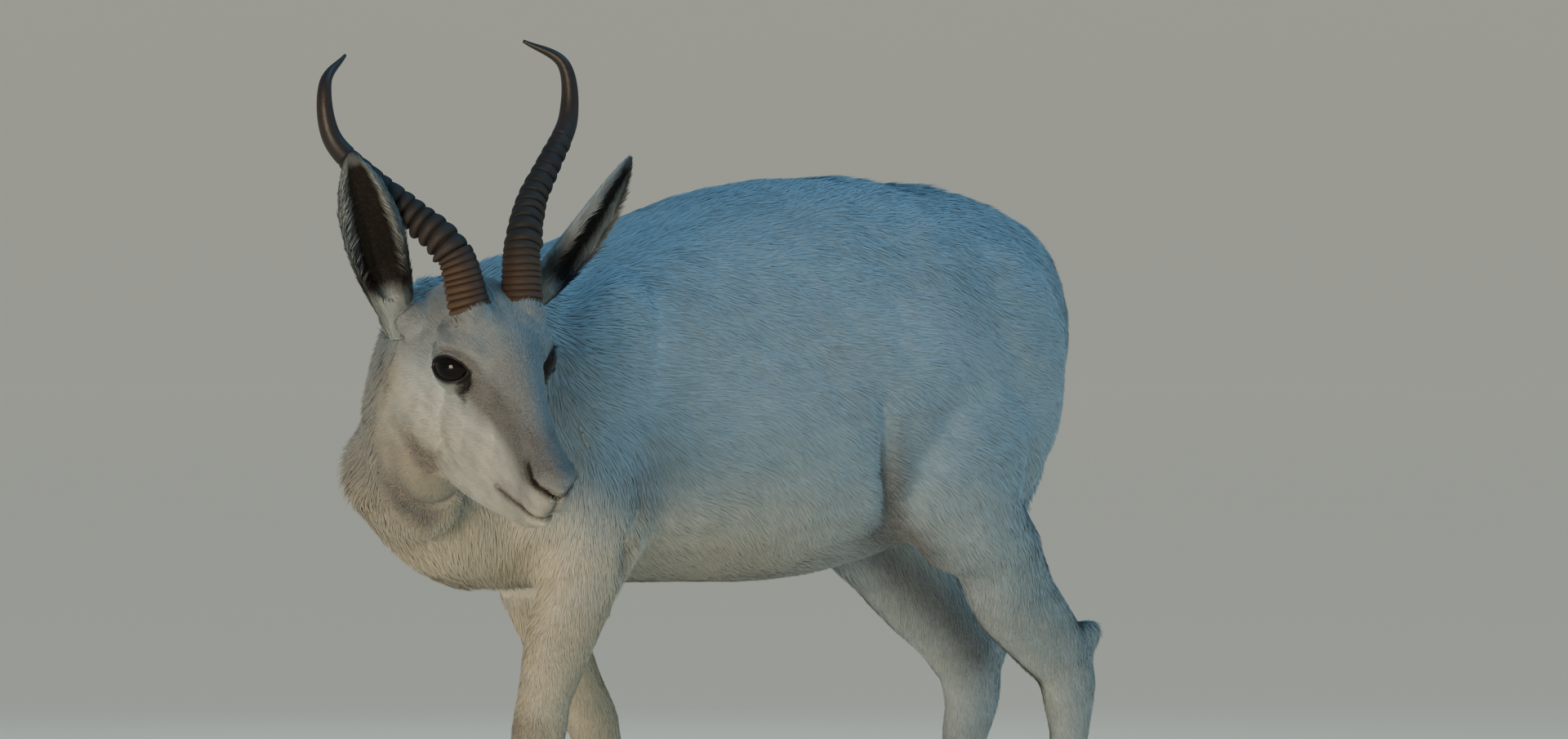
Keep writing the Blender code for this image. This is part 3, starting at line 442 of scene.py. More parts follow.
class SpringbokSettings(bpy.types.PropertyGroup):
    """Sizes and colours that someone would change."""

    body_coat: FloatProperty(name="Body coat", description="Length of the hair on the body",
                             default=0.018, unit="LENGTH")
    neck_coat: FloatProperty(name="Neck coat", description="Length of the hair on the neck and chest",
                             default=0.019, unit="LENGTH")
    face_coat: FloatProperty(name="Face coat", description="Length of the hair on the cheeks",
                             default=0.0085, unit="LENGTH")
    leg_coat: FloatProperty(name="Leg coat", description="Length of the hair on the legs",
                            default=0.010, unit="LENGTH")
    crest_coat: FloatProperty(name="Crest coat", description="Length of the hair along the rump's ridge",
                              default=0.030, unit="LENGTH")
    coverage: FloatProperty(name="Coverage", description="How many hairs lie over each spot",
                            default=4.2, min=0.1, max=8.0)
    # The coat is white; this colour is painted darker and blue, as the shade of a blue sky over back and flanks
    white: FloatVectorProperty(name="White", description="Colour of the coat on back and flanks",
                               default=(0.42, 0.545, 0.62), subtype="COLOR")
    # Part of this cream is painted warm light on the lower body and the forelegs
    cream: FloatVectorProperty(name="Cream", description="Colour of the coat on throat, chest and legs",
                               default=(0.76, 0.66, 0.475), subtype="COLOR")
    # The brown also paints shade: in the folds, inside the thighs, on throat, belly and brow, in the jaw's
    # crease and in the upper lids' fold
    brown: FloatVectorProperty(name="Brown", description="Colour of the faint band on the face",
                               default=(0.150, 0.132, 0.118), subtype="COLOR")
    dark: FloatVectorProperty(name="Dark", description="Colour of eye rims, nostrils and ear stripes",
                              default=(0.020, 0.014, 0.011), subtype="COLOR")
    horn_base: FloatVectorProperty(name="Horn base", description="Colour of the horn near the head",
                                   default=(0.100, 0.050, 0.024), subtype="COLOR")
    horn_dark: FloatVectorProperty(name="Horn", description="Colour of the ringed horn",
                                   default=(0.022, 0.019, 0.018), subtype="COLOR")
    horn_radius: FloatProperty(name="Horn radius", description="Radius of the horn at its base",
                               default=0.0206, unit="LENGTH")
    close_rings: IntProperty(name="Close rings", description="Tight rings at the horn's base", default=12)
    wide_rings: IntProperty(name="Wide rings", description="Wide rings above them", default=11)
    hoof: FloatVectorProperty(name="Hoof", description="Colour of the hooves",
                              default=(0.022, 0.019, 0.017), subtype="COLOR")
    floor: FloatVectorProperty(name="Floor", description="Colour of the floor",
                               default=(0.94, 0.77, 0.57), subtype="COLOR")
    lens: FloatProperty(name="Lens", description="Focal length of the camera in millimetres",
                        default=209.25)


def settings():
    return bpy.context.scene.springbok


def joined(name, nodes):
    """One object with copies of the meshes of several nodes."""
    bm = bmesh.new()
    for node in nodes:
        bm.from_mesh(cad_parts[node].data)
    mesh = bpy.data.meshes.new(name)
    bm.to_mesh(mesh)
    bm.free()
    obj = bpy.data.objects.new(name, mesh)
    bpy.context.scene.collection.objects.link(obj)
    return obj


def skin_arrays(nodes, voxel, rounds):
    """Points and quads of one closed skin over some nodes, relaxed without losing its thickness."""
    obj = joined("rough", nodes)
    remesh = obj.modifiers.new("skin", "REMESH")
    remesh.mode = "VOXEL"
    remesh.voxel_size = voxel
    graph = bpy.context.evaluated_depsgraph_get()
    mesh = bpy.data.meshes.new_from_object(obj.evaluated_get(graph))
    points = np.empty(len(mesh.vertices) * 3)
    mesh.vertices.foreach_get("co", points)
    quads = np.empty(len(mesh.loops), dtype=np.int64)
    mesh.loops.foreach_get("vertex_index", quads)
    edges = np.empty(len(mesh.edges) * 2, dtype=np.int64)
    mesh.edges.foreach_get("vertices", edges)
    bpy.data.objects.remove(obj)
    bpy.data.meshes.remove(mesh)
    points, quads, edges = points.reshape(-1, 3), quads.reshape(-1, 4), edges.reshape(-1, 2)
    return relaxed(points, edges, rounds), quads


def relaxed(points, edges, rounds):
    """Smoother points: each round pulls them to their neighbours and pushes them back a little more."""
    count = len(points)
    starts, ends = edges.T
    links = np.bincount(edges.ravel(), minlength=count)[:, None]
    for _ in range(rounds):
        for share in (0.60, -0.62):
            total = np.zeros_like(points)
            for axis in range(3):
                total[:, axis] += np.bincount(starts, points[ends, axis], count)
                total[:, axis] += np.bincount(ends, points[starts, axis], count)
            points = points + share * (total / links - points)
    return points


def normals_of(points, quads):
    """Normals of a skin's points, from its quads."""
    across = points[quads[:, 2]] - points[quads[:, 0]]
    along = points[quads[:, 3]] - points[quads[:, 1]]
    normal = np.cross(across, along)
    total = np.zeros_like(points)
    for corner in range(4):
        for axis in range(3):
            total[:, axis] += np.bincount(quads[:, corner], normal[:, axis], len(points))
    return unit(total)


def keep_quads(points, quads, kept):
    """Only the kept quads and the points that they use."""
    quads = quads[kept]
    used, index = np.unique(quads, return_inverse=True)
    return points[used], index.reshape(-1, 4)


def ahead_of_cut(points):
    """Distance in head units ahead of the plane behind jaws and poll, or far behind it elsewhere."""
    places = to_head(points)
    ahead = (places - HEAD_CUT) @ HEAD_CUT_FACING
    near = np.linalg.norm(places - np.array((3, 0, -3)), axis=1) < 18
    return np.where(near, ahead, -50)


def on_tail(points):
    """Whether each place is on the tail, behind the rump and between the hocks."""
    x, y, z = to_body(points).T
    return (x > 43.3) & (np.abs(y - 1.8) < 3.6) & (z < 71.5)


def coat_depth(points):
    """How deep the skin lies below the tips of the coat."""
    leg = smooth(to_body(points)[:, 2], 43, 35)
    depth = mix(0.0062, 0.0026, leg)
    depth = mix(depth, 0.0036, on_tail(points))
    return mix(depth, 0.0018, smooth(ahead_of_cut(points), -3, 2.5))


def eye_place(label):
    """Centre, radius and directions of an eye: towards its inner corner, upward and outward."""
    centre, radius = eye_ball(label)
    sign = SIGN[label]
    facing = head_direction(EYE_FACING[0], sign * EYE_FACING[1], EYE_FACING[2])
    corner = head_direction(EYE_CORNER[0], sign * EYE_CORNER[1], EYE_CORNER[2])
    across = unit(np.cross(facing, corner)) * sign
    along = unit(np.cross(across, facing)) * sign
    if across @ HEAD_AXES[2] < 0:
        across = -across
    return centre, radius, along, across, facing


def round_eye(points, label):
    """Place on an eye's opening: towards the inner corner, upward, and 1 on the lids' edge."""
    centre, radius, along, across, facing = eye_place(label)
    ray = unit(points - centre)
    ahead = np.maximum(ray @ facing, 0.1)
    u = ray @ along / ahead * radius / EYE_HALF_LENGTH
    v = ray @ across / ahead * radius / EYE_HALF_HEIGHT
    edge = (np.abs(u) ** EYE_POINTEDNESS + np.abs(v) ** EYE_POINTEDNESS) ** (1 / EYE_POINTEDNESS)
    hidden = (ray @ facing < 0.15) | (np.linalg.norm(points - centre, axis=1) > 2.6 * radius)
    return u, v, np.where(hidden, 9.0, edge)


def carve_body(points, normals):
    """Folds of elbow, flank and throat pressed into the body's skin."""
    places = to_body(points)
    # The trunk's muscles and loose skin make it slightly uneven
    uneven = 0.0011 * ripple(places, 3.2, 21) + 0.0005 * ripple(places, 1.3, 22)
    depth = uneven * smooth(places[:, 2], 40, 46)
    for line, width, deep, both in FOLDS:
        for sign in (1, -1) if both else (1,):
            gap, along = line_distance(places, [(x, sign * y, z) for x, y, z in line])
            taper = np.sqrt(np.sin(math.pi * np.clip(along, 0.04, 0.96)))
            depth += deep / 100 * np.exp(-(gap / width) ** 2) * taper
    return points - normals * depth[:, None]


def carve_face(points, normals):
    """Sockets, nostrils, the mouth, and the folds round eyes and jaws pressed into the head's skin."""
    places = to_head(points)
    depth = np.zeros(len(points))
    for sign in SIGN.values():
        for line, width, deep, middle in GROOVES:
            gap, along = line_distance(places, [(x, middle + sign * y, z) for x, y, z in line])
            ends = np.sqrt(np.sin(math.pi * np.clip(along, 0.03, 0.97)))
            # Nostrils and mouth run on to the muzzle's middle at their full depth
            taper = np.where(along > 0.5, 1, ends) if line in (NOSTRIL, MOUTH) else ends
            depth += deep * np.exp(-(gap / width) ** 2) * taper
        foot = np.linalg.norm(places - np.array(HORN_FOOT) * (1, sign, 1), axis=1)
        depth -= 0.36 * np.exp(-(foot / HORN_FOOT_REACH) ** 4)
        for line, offset, width, high in SWELLINGS:
            shifted = [tuple(np.add(point, offset)) for point in line]
            gap, _ = line_distance(places, mirrored(shifted, sign))
            depth -= high * np.exp(-(gap / width) ** 2)
    gap, _ = line_distance(places, mirrored(CLEFT, 1))
    depth += 0.30 * np.exp(-(gap / 0.17) ** 2)
    points = points - normals * depth[:, None] * HEAD_UNIT
    for label in SIDES:
        points = with_socket(points, label)
    return points


def with_socket(points, label):
    """The skin sunk behind an eyeball inside its opening, and kept thick and folded on the lids."""
    centre, radius, _, _, _ = eye_place(label)
    _, height, edge = round_eye(points, label)
    ray = unit(points - centre)
    reach = np.linalg.norm(points - centre, axis=1)
    sunk = np.where(edge < 1.04, radius * 0.80, reach)
    lids = smooth(edge, 2.4, 1.2) * (edge >= 1.04)
    fold = 0.0016 * np.exp(-((edge - 1.75) / 0.14) ** 2) * smooth(height, -0.2, 0.6)
    rim = mix(sunk, np.clip(reach, radius + 0.0012, radius + 0.0024), lids) - fold
    return np.where((edge < 3)[:, None], centre + ray * rim[:, None], points)


def ear_axes(label):
    """Root, length and directions of an ear: to its tip, sideways, and where it opens to."""
    root, tip, opening = EARS[label]
    root, tip = from_head(root), from_head(tip)
    along = unit(tip - root)
    opening = head_direction(*opening)
    face = unit(opening - opening @ along * along)
    return root, np.linalg.norm(tip - root), along, np.cross(along, face), face


def on_ear(points, normals, label):
    """Share of the way to the ear's tip, place across it from -1 to 1, and how far it faces the opening."""
    root, length, along, side, face = ear_axes(label)
    offset = points - root
    t = offset @ along / length
    half = 0.028 * np.sqrt(np.clip(np.sin(math.pi * np.clip(0.18 + 0.82 * t, 0, 1)), 0.02, 1))
    return t, offset @ side / half, normals @ face


def mark_along(places, line, width, power=2):
    """A mark that is full on a line and fades away over its width."""
    gap, _ = line_distance(places, line)
    return np.exp(-(gap / width) ** power)


def throat_shade_share(points):
    """Share of the throat and of the neck behind the jaw, painted darker than face and chest as shade under the
    head.
    """
    x, _, z = to_body(points).T
    ahead, _, up = to_head(points).T
    below_jaw = smooth(up, -6.5, -9.5) * smooth(ahead, 3, -0.5)
    behind_jaw = smooth(ahead, -3.0, -5.5) * smooth(up, -0.5, -4.0)
    return np.maximum(below_jaw, behind_jaw) * smooth(x, -34, -42) * smooth(z, 44, 53)


def body_markings(points, normals):
    """Shares of cream and brown on trunk, neck, legs and tail; the brown is partly painted shade and the cream
    partly painted warm light.
    """
    body = to_body(points)
    x, y, z = body.T
    # Cream low on the body and on the neck is partly the coat's own colour and partly painted warm light from
    # below; that painted light is full on the forelegs and three tenths as strong on the hind legs
    low = 0.75 * smooth(z, 56, 44) + 0.5 * smooth(z, 42, 36)
    cream = low * mix(0.3, 1, smooth(x, 14, -6)) + 0.7 * smooth(x, -26, -36) * smooth(z, 74, 58)
    knee = np.linalg.norm((body - np.array(KNEE_PATCH)) / np.array(KNEE_PATCH_SIZE), axis=1)
    brown = 0.5 * smooth(knee, 1.3, 0.5) + 0.6 * on_tail(points) * smooth(z, 52, 45)
    # Painted shade in the folds, stronger where they are deeper and towards their lower ends
    for line, width, deep, both in FOLDS:
        folded = np.stack([x, -np.abs(y) if both else y, z], axis=1)
        gap, along = line_distance(folded, line)
        brown += 0.75 * deep * np.exp(-(gap / width) ** 2) * smooth(along, -0.1, 0.7)
    # Painted shade on the inside of the thighs
    brown += 0.85 * mark_along(np.stack([x, np.abs(y), z], axis=1), INNER_THIGH, 2.6)
    # Painted shade on the throat and the neck under the head
    brown += 0.50 * throat_shade_share(points)
    # Painted shade under the belly, where the skin faces down
    brown += 0.45 * smooth(-normals[:, 2], 0.45, 1.0) * smooth(np.abs(x), 42, 30) * smooth(z, 36, 42)
    return cream, brown


def face_markings(points):
    """Shares of cream, brown and dark that the face adds: its band, lips, nostrils, tear lines and lids, with
    painted shade on the brow, in the jaw's crease and in the lids' fold, and painted warm light on the lower
    face.
    """
    ahead, left, up = to_head(points).T
    # The face is a little cream all over; painted warm light makes its lower half more cream, and the throat's
    # painted shade adds cream there too
    cream = 0.50 * smooth(up, 1.0, -5.0) + 0.20 + 0.3 * throat_shade_share(points)
    side = np.abs(left - MUZZLE_MIDDLE * smooth(ahead, 3, 8))
    folded = np.stack([ahead, side, up], axis=1)
    band, along = line_distance(folded, FACE_BAND)
    brown = 0.85 * np.exp(-(band / mix(1.20, 1.70, along)) ** 2)
    # Painted shade in the jaw's crease, and painted shadow under the lips
    brown += 0.55 * mark_along(folded, JAW_CREASE, 0.6) + 0.30 * mark_along(folded, LIP_SHADOW, 0.8)
    # Brown on the muzzle's tip, and painted shade over the brow and forehead
    brown += 0.50 * smooth(ahead, 9.5, 14.0) * smooth(up, -4.6, -2.8) + 0.58 * smooth(up, -3.0, 0.5)
    brown += 0.16 * smooth(ahead, 2.0, 6.0) * smooth(up, -3.5, -1)
    dark = mark_along(folded, MOUTH, 0.30) + mark_along(folded, NOSTRIL, 0.48, 4)
    dark += mark_along(folded, CLEFT, 0.32)
    # The gland's line is found from the side, so that it keeps its place on the bulging lids
    from_side = np.array((1, 0.25, 1))
    dark += mark_along(folded * from_side, np.array(TEAR_LINE) * from_side, 0.42)
    for label in SIDES:
        _, height, edge = round_eye(points, label)
        dark += 0.95 * smooth(edge, 1.30, 1.10) + 0.60 * smooth(edge, 1.8, 1.3) * smooth(height, 0.1, -0.5)
        # Grey-brown on the upper lid, and painted shade in the fold above it
        brown += 0.35 * smooth(edge, 2.1, 1.4) * smooth(height, -0.3, 0.4)
        brown += 0.90 * np.exp(-((edge - 1.75) / 0.22) ** 2) * smooth(height, 0.1, 0.7)
    return cream, brown, dark


def ear_markings(points, normals, label):
    """Shares of brown and dark inside an ear and at its tip."""
    t, across, facing = on_ear(points, normals, label)
    inside = smooth(facing, 0.0, 0.35) * smooth(t, 0.10, 0.22)
    stripe = smooth(np.abs(across), 0.98, 0.66) * smooth(t, 0.99, 0.90)
    return 0.35 * inside, inside * stripe + 0.55 * smooth(t, 0.93, 0.99)


def markings(points, normals, part):
    """Shares of cream, brown and dark on the coat, which skin and tufts both carry."""
    cream, brown = body_markings(points, normals)
    dark = np.zeros(len(points))
    if part == "head":
        cream, more, dark = face_markings(points)
        brown += more
    elif part.startswith("ear"):
        more, dark = ear_markings(points, normals, part[4:])
        cream = np.full(len(points), 0.3)
        brown += more
    return np.clip(cream, 0, 1), np.clip(brown, 0, 1), np.clip(dark, 0, 1)


def body_lie(points, normals):
    """Direction in which the hair of body and legs lies, before it is laid on the surface."""
    x, y, z = to_body(points).T
    neck = mix(np.array((1.0, 0.1, -0.55)), np.array((0.12, 0.75, -0.75)), smooth(y, -1, -11)[:, None])
    lie = np.tile((1.0, 0.0, -0.42), (len(points), 1))
    # Back, rump, thigh, shoulder, neck, belly and legs, each over the ones before it
    for direction, share in (
            ((1.0, 0, -0.05), smooth(normals[:, 2], 0.55, 0.95)),
            ((0.5, 0, -1.0), smooth(x, 26, 42)),
            ((0.62, 0, -0.9), smooth(x, 12, 22) * smooth(z, 60, 48)),
            ((0.35, 0, -1.0), smooth(x, -12, -22) * smooth(z, 62, 50)),
            (neck, smooth(x, -25, -34)),
            ((1.0, 0, -0.85), smooth(z, 55, 46) * smooth(np.abs(x + 5), 22, 12)),
            ((0.12, 0, -1.0), smooth(z, 44, 36))):
        lie = mix(lie, np.asarray(direction), share[:, None])
    return np.where(on_tail(points)[:, None], np.array((-0.1, 0.05, -1.0)), lie)


def head_lie(points):
    """The face's hair runs from the nose back to the ears, down the cheeks and up the brow."""
    x, y, z = to_head(points).T
    sign = np.sign(y)
    lie = np.stack([np.full(len(x), -1.0), 0.12 * sign, -0.28 * smooth(z, 1.5, -3)], axis=1)
    jaw = smooth(z, -5.2, -7.5)[:, None]
    lie = mix(lie, np.array((-1.0, 0, 0.05)), jaw)
    cheek = (smooth(x, 2.5, -4.0) * smooth(z, 1.0, -3.0))[:, None]
    lie = mix(lie, np.stack([np.full(len(x), -0.8), 0.1 * sign, np.full(len(x), -0.75)], axis=1), cheek)
    brow = (smooth(z, 2.5, 4.5) * smooth(x, 3.0, -0.5))[:, None]
    lie = mix(lie, np.stack([np.full(len(x), -0.8), 0.3 * sign, np.full(len(x), 0.45)], axis=1), brow)
    return lie @ HEAD_AXES


def ear_lie(points, normals, label):
    """Along the ear, and outward to its margins on the inside."""
    _, _, along, side, _ = ear_axes(label)
    _, across, facing = on_ear(points, normals, label)
    inward = smooth(facing, 0.0, 0.4)[:, None] * across[:, None] * 0.55
    return along - side * inward


def laid(lie, normals, points, turn):
    """Directions laid on the surface and turned a little by smooth noise."""
    flat = unit(lie - np.sum(lie * normals, axis=1, keepdims=True) * normals)
    angle = turn * (0.6 * ripple(points * 100, 3.0, 5) + 0.4 * ripple(points * 100, 0.9, 6))
    side = np.cross(normals, flat)
    return unit(flat * np.cos(angle)[:, None] + side * np.sin(angle)[:, None])


def hair_size(points, normals, part):
    """Length and width of the hair, and how steeply it stands off the skin."""
    own = settings()
    x, y, z = to_body(points).T
    if part == "head":
        places = to_head(points)
        length = mix(own.face_coat, own.face_coat * 0.50, smooth(places[:, 0], 3, 11))
        for label in SIDES:
            edge = round_eye(points, label)[2]
            length = mix(length, 0.0028, smooth(edge, 2.4, 1.4))
        length = mix(length, own.neck_coat * 0.62, smooth(ahead_of_cut(points), 2.5, -1.5))
        return length, 0.0008 + 0.065 * length, np.radians(np.full(len(x), 11.0))
    if part.startswith("ear"):
        t, across, facing = on_ear(points, normals, part[4:])
        inside = smooth(facing, 0.0, 0.3)
        margin = smooth(np.abs(across), 0.45, 0.9)
        length = mix(0.0065, 0.0150, inside * margin) * mix(1, 0.6, smooth(t, 0.7, 1))
        return length, mix(0.0010, 0.0007, inside), np.radians(mix(7.0, 14.0, inside))
    leg = smooth(z, 44, 34)
    front = smooth(x, -24, -34)
    length = mix(own.body_coat, own.neck_coat, front)
    length = mix(length, own.leg_coat, leg)
    length = mix(length, own.leg_coat * 0.6, smooth(z, 14, 6))
    length = mix(length, own.neck_coat * 0.62, smooth(ahead_of_cut(points), -3, -1))
    crest = np.exp(-(y / 3.2) ** 2) * smooth(x, 4, 16) * smooth(x, 45, 38) * smooth(z, 70, 76)
    length = mix(length, own.crest_coat, crest)
    tail = on_tail(points)
    length = np.where(tail, mix(0.014, 0.030, smooth(z, 62, 48)), length)
    lift = mix(7.5, 10.5, front)
    lift = mix(lift, 8.5, crest)
    lift = np.where(tail, 14.0, lift)
    return length, 0.0008 + 0.050 * length, np.radians(lift)


def bald(points, part):
    """Where no hair grows: in the eyes' openings, the nostrils and mouth, and under the horns."""
    bare = np.zeros(len(points), dtype=bool)
    if part != "head":
        return bare
    places = to_head(points)
    for label in SIDES:
        bare |= round_eye(points, label)[2] < 1.20
        for line, width in ((NOSTRIL, 0.40), (MOUTH, 0.20), (CLEFT, 0.18)):
            bare |= line_distance(places, mirrored(line, SIGN[label]))[0] < width
        foot = [(x, SIGN[label] * y, z) for x, y, z, _ in HORN_LINE[1:3]]
        bare |= line_distance(places, foot)[0] < settings().horn_radius / HEAD_UNIT * 0.86
    return bare


class Skin:
    """A stretch of skin: its part of the animal, its points before and after carving, and its quads."""

    def __init__(self, part, plain, points, quads):
        self.part = part
        self.plain = plain
        self.points = points
        self.quads = quads
        self.normals = normals_of(points, quads)

    def areas(self):
        """The area of each quad."""
        a, b, c, d = (self.points[self.quads[:, corner]] for corner in range(4))
        return 0.5 * np.linalg.norm(np.cross(c - a, d - b), axis=1)


SKINS = []


def skins():
    """The animal's skin in stretches, built once: the body coarse, the head and the thin ears finer."""
    if SKINS:
        return SKINS
    points, quads = skin_arrays(FLESH, 0.0040, 110)
    points = points - normals_of(points, quads) * coat_depth(points)[:, None]
    hidden = ahead_of_cut(points)[quads].min(axis=1) > -0.5
    points, quads = keep_quads(points, quads, ~hidden)
    SKINS.append(Skin("body", points, carve_body(points, normals_of(points, quads)), quads))

    points, quads = skin_arrays(["head", "neck", "eye_left", "eye_right"], 0.0018, 50)
    points, quads = keep_quads(points, quads, ahead_of_cut(points)[quads].max(axis=1) > -1.5)
    normals = normals_of(points, quads)
    points = points - normals * coat_depth(points)[:, None]
    SKINS.append(Skin("head", points, carve_face(points, normals), quads))

    for label in SIDES:
        points, quads = skin_arrays(["ear_" + label], 0.0010, 12)
        points = points - normals_of(points, quads) * 0.0003
        SKINS.append(Skin("ear_" + label, points, points, quads))
    return SKINS


def coat_material(name, tufts):
    """White to cream hair, with the face's brown band, dark places and brown painted shade; tufts differ a
    little in tone and are painted darker at their roots as shade.
    """
    own = settings()
    made = Material(name, Roughness=0.62 if tufts else 0.75, Specular_IOR_Level=0.25)
    made.shader.inputs["Sheen Weight"].default_value = 0.12 if tufts else 0.0
    made.shader.inputs["Sheen Roughness"].default_value = 0.5
    cloud = made.noise(9.0, 4.0)
    fleck = made.noise(420.0, 2.0)
    speckle = made.noise(620.0, 1.0).step(0.42, 0.62)
    cream = (made.attribute("cream") + (cloud - 0.5) * 0.5).clamped()
    colour = made.blend(cream, tuple(own.white), tuple(own.cream))
    brown = (made.attribute("brown") * (0.82 + speckle * 0.26)).clamped()
    colour = made.blend(brown, colour, tuple(own.brown))
    if tufts:
        # Each tuft's random tone, with painted shade at its root, darkens it towards grey
        tone = made.attribute("tone")
        colour = made.blend((1 - tone) * 0.62, colour, (0.27, 0.27, 0.27))
    else:
        colour = made.blend(fleck.step(0.45, 0.75) * 0.18, colour, (0.30, 0.28, 0.26))
        hair = made.noise(900.0, 2.0, at=made.stretched((0.35, 1.0, 1.0)))
        made.bump(hair, 0.35, 0.0006)
    dark = (made.attribute("dark") * (0.86 + fleck * 0.3)).clamped()
    made.set("Base Color", made.blend(dark, colour, tuple(own.dark)))
    return made.made


def tuft_arrays(roots, normals, along, length, width, lift):
    """Four points for each tuft: root, right, tip and left of a thin roofed leaf, and their normals."""
    side = np.cross(normals, along)
    length, width = length[:, None], width[:, None]
    rise = np.sin(lift)[:, None]
    root = roots - normals * 0.0006 - along * 0.05 * length
    middle = roots + along * 0.34 * length + normals * (0.42 * rise * length)
    tip = roots + along * length + normals * (0.80 * rise * length)
    edge = middle - normals * 0.22 * width
    points = np.stack([root, edge - side * width / 2, tip, edge + side * width / 2], axis=1)
    soft = np.stack([normals - along * 0.20, normals - side * 0.50,
                     normals + along * 0.25, normals + side * 0.50], axis=1)
    return points, unit(soft)


def coat_piece(name, rows, material):
    """One joined mesh of tufts, each with its tone, its markings and its own patch of the unwrap."""
    roots, normals, along, length, width, lift, tone, marks, unwrap = rows
    points, soft = tuft_arrays(roots, normals, along, length, width, lift)
    # The outermost tips are pressed down to the animal's full size
    points = np.clip(points, np.array(CAD_BOX[0]), np.array(CAD_BOX[1]))
    count = len(roots)
    first = np.arange(count) * 4
    faces = np.stack([np.stack([first, first + 1, first + 2], axis=1),
                      np.stack([first, first + 2, first + 3], axis=1)], axis=1).reshape(-1, 3)
    obj = mesh_object(name, points.reshape(-1, 3), faces)
    # Painted shade: a tuft is darker at its root than at its tip
    tones_with_root_shade = tone[:, None] * np.array((0.50, 1.0, 1.08, 1.0))
    point_value(obj, "tone", np.clip(tones_with_root_shade, 0, 1).ravel())
    for key, values in zip(("cream", "brown", "dark"), marks):
        point_value(obj, key, np.repeat(values, 4))
    patch = 0.0015 * np.array(((0, -1), (1, 0), (0, 1), (-1, 0)))
    corners = (unwrap[:, None, :] + patch).reshape(-1, 2)[faces.ravel()]
    layer = obj.data.uv_layers.new(name="OFBake")
    layer.data.foreach_set("uv", corners.astype(np.float32).ravel())
    obj.data.normals_split_custom_set_from_vertices(soft.reshape(-1, 3).tolist())
    finish_piece(obj, material, "coat")


def scattered(skin, count, weight, rng):
    """Roots spread over a skin by the weight of its quads: points, normals, and places before carving."""
    share = np.cumsum(weight)
    picks = (np.arange(count) + rng.random(count)) / count * share[-1]
    quad = np.minimum(np.searchsorted(share, picks), len(share) - 1)
    s, t = rng.random((2, count, 1))
    weights = ((1 - s) * (1 - t), s * (1 - t), s * t, (1 - s) * t)
    points, normals, plain = (sum(w * rows[skin.quads[quad, k]] for k, w in enumerate(weights))
                              for rows in (skin.points, skin.normals, skin.plain))
    return points, unit(normals), plain


def hair_rows(skin, rng):
    """Every tuft of a skin: where it grows, how it lies, its size, tone and markings."""
    middles = skin.plain[skin.quads].mean(axis=1)
    length, width, _ = hair_size(middles, skin.normals[skin.quads[:, 0]], skin.part)
    # A tuft covers half of its length times its width
    wanted = skin.areas() * (settings().coverage / (length * width * 0.5))
    points, normals, plain = scattered(skin, int(wanted.sum()), wanted, rng)
    grows = ~bald(plain, skin.part)
    points, normals, plain = points[grows], normals[grows], plain[grows]
    count = len(points)
    length, width, lift = hair_size(plain, normals, skin.part)
    if skin.part == "body":
        lie = body_lie(plain, normals)
    elif skin.part == "head":
        lie = head_lie(plain)
    else:
        lie = ear_lie(plain, normals, skin.part[4:])
    along = laid(lie, normals, points, 0.38)
    spread = rng.normal(0, 0.10, (count, 1))
    along = unit(along + np.cross(normals, along) * spread)
    length = length * rng.uniform(0.72, 1.18, count)
    width = width * rng.uniform(0.75, 1.25, count)
    lift = lift * rng.uniform(0.5, 1.35, count)
    clump = 0.5 + 0.5 * ripple(points * 100, 0.55, 8)
    patch = ripple(points * 100, 3.6, 9)
    tone = 0.56 + 0.34 * clump + 0.10 * patch + rng.normal(0, 0.23, count)
    if skin.part == "head":
        tone += 0.32 * ripple(to_head(plain) * (0.22, 1, 1), 0.16, 12) - 0.08
    tone = np.clip(tone, 0, 1)
    marks = markings(plain, normals, skin.part)
    return points, normals, along, length, width, lift, tone, marks


def wrapped(points, axis_point, axis, start):
    """A place on an unwrap round an axis: turn about it, and share of the way along it."""
    axis = unit(axis)
    start = unit(start - start @ axis * axis)
    third = np.cross(axis, start)
    offset = points - axis_point
    turn = np.arctan2(offset @ third, offset @ start) / (2 * math.pi) + 0.5
    reach = offset @ axis
    low, high = reach.min(), reach.max()
    span = (reach - low) / max(high - low, 1e-6)
    return np.stack([0.01 + 0.98 * turn, 0.01 + 0.98 * span], axis=1)


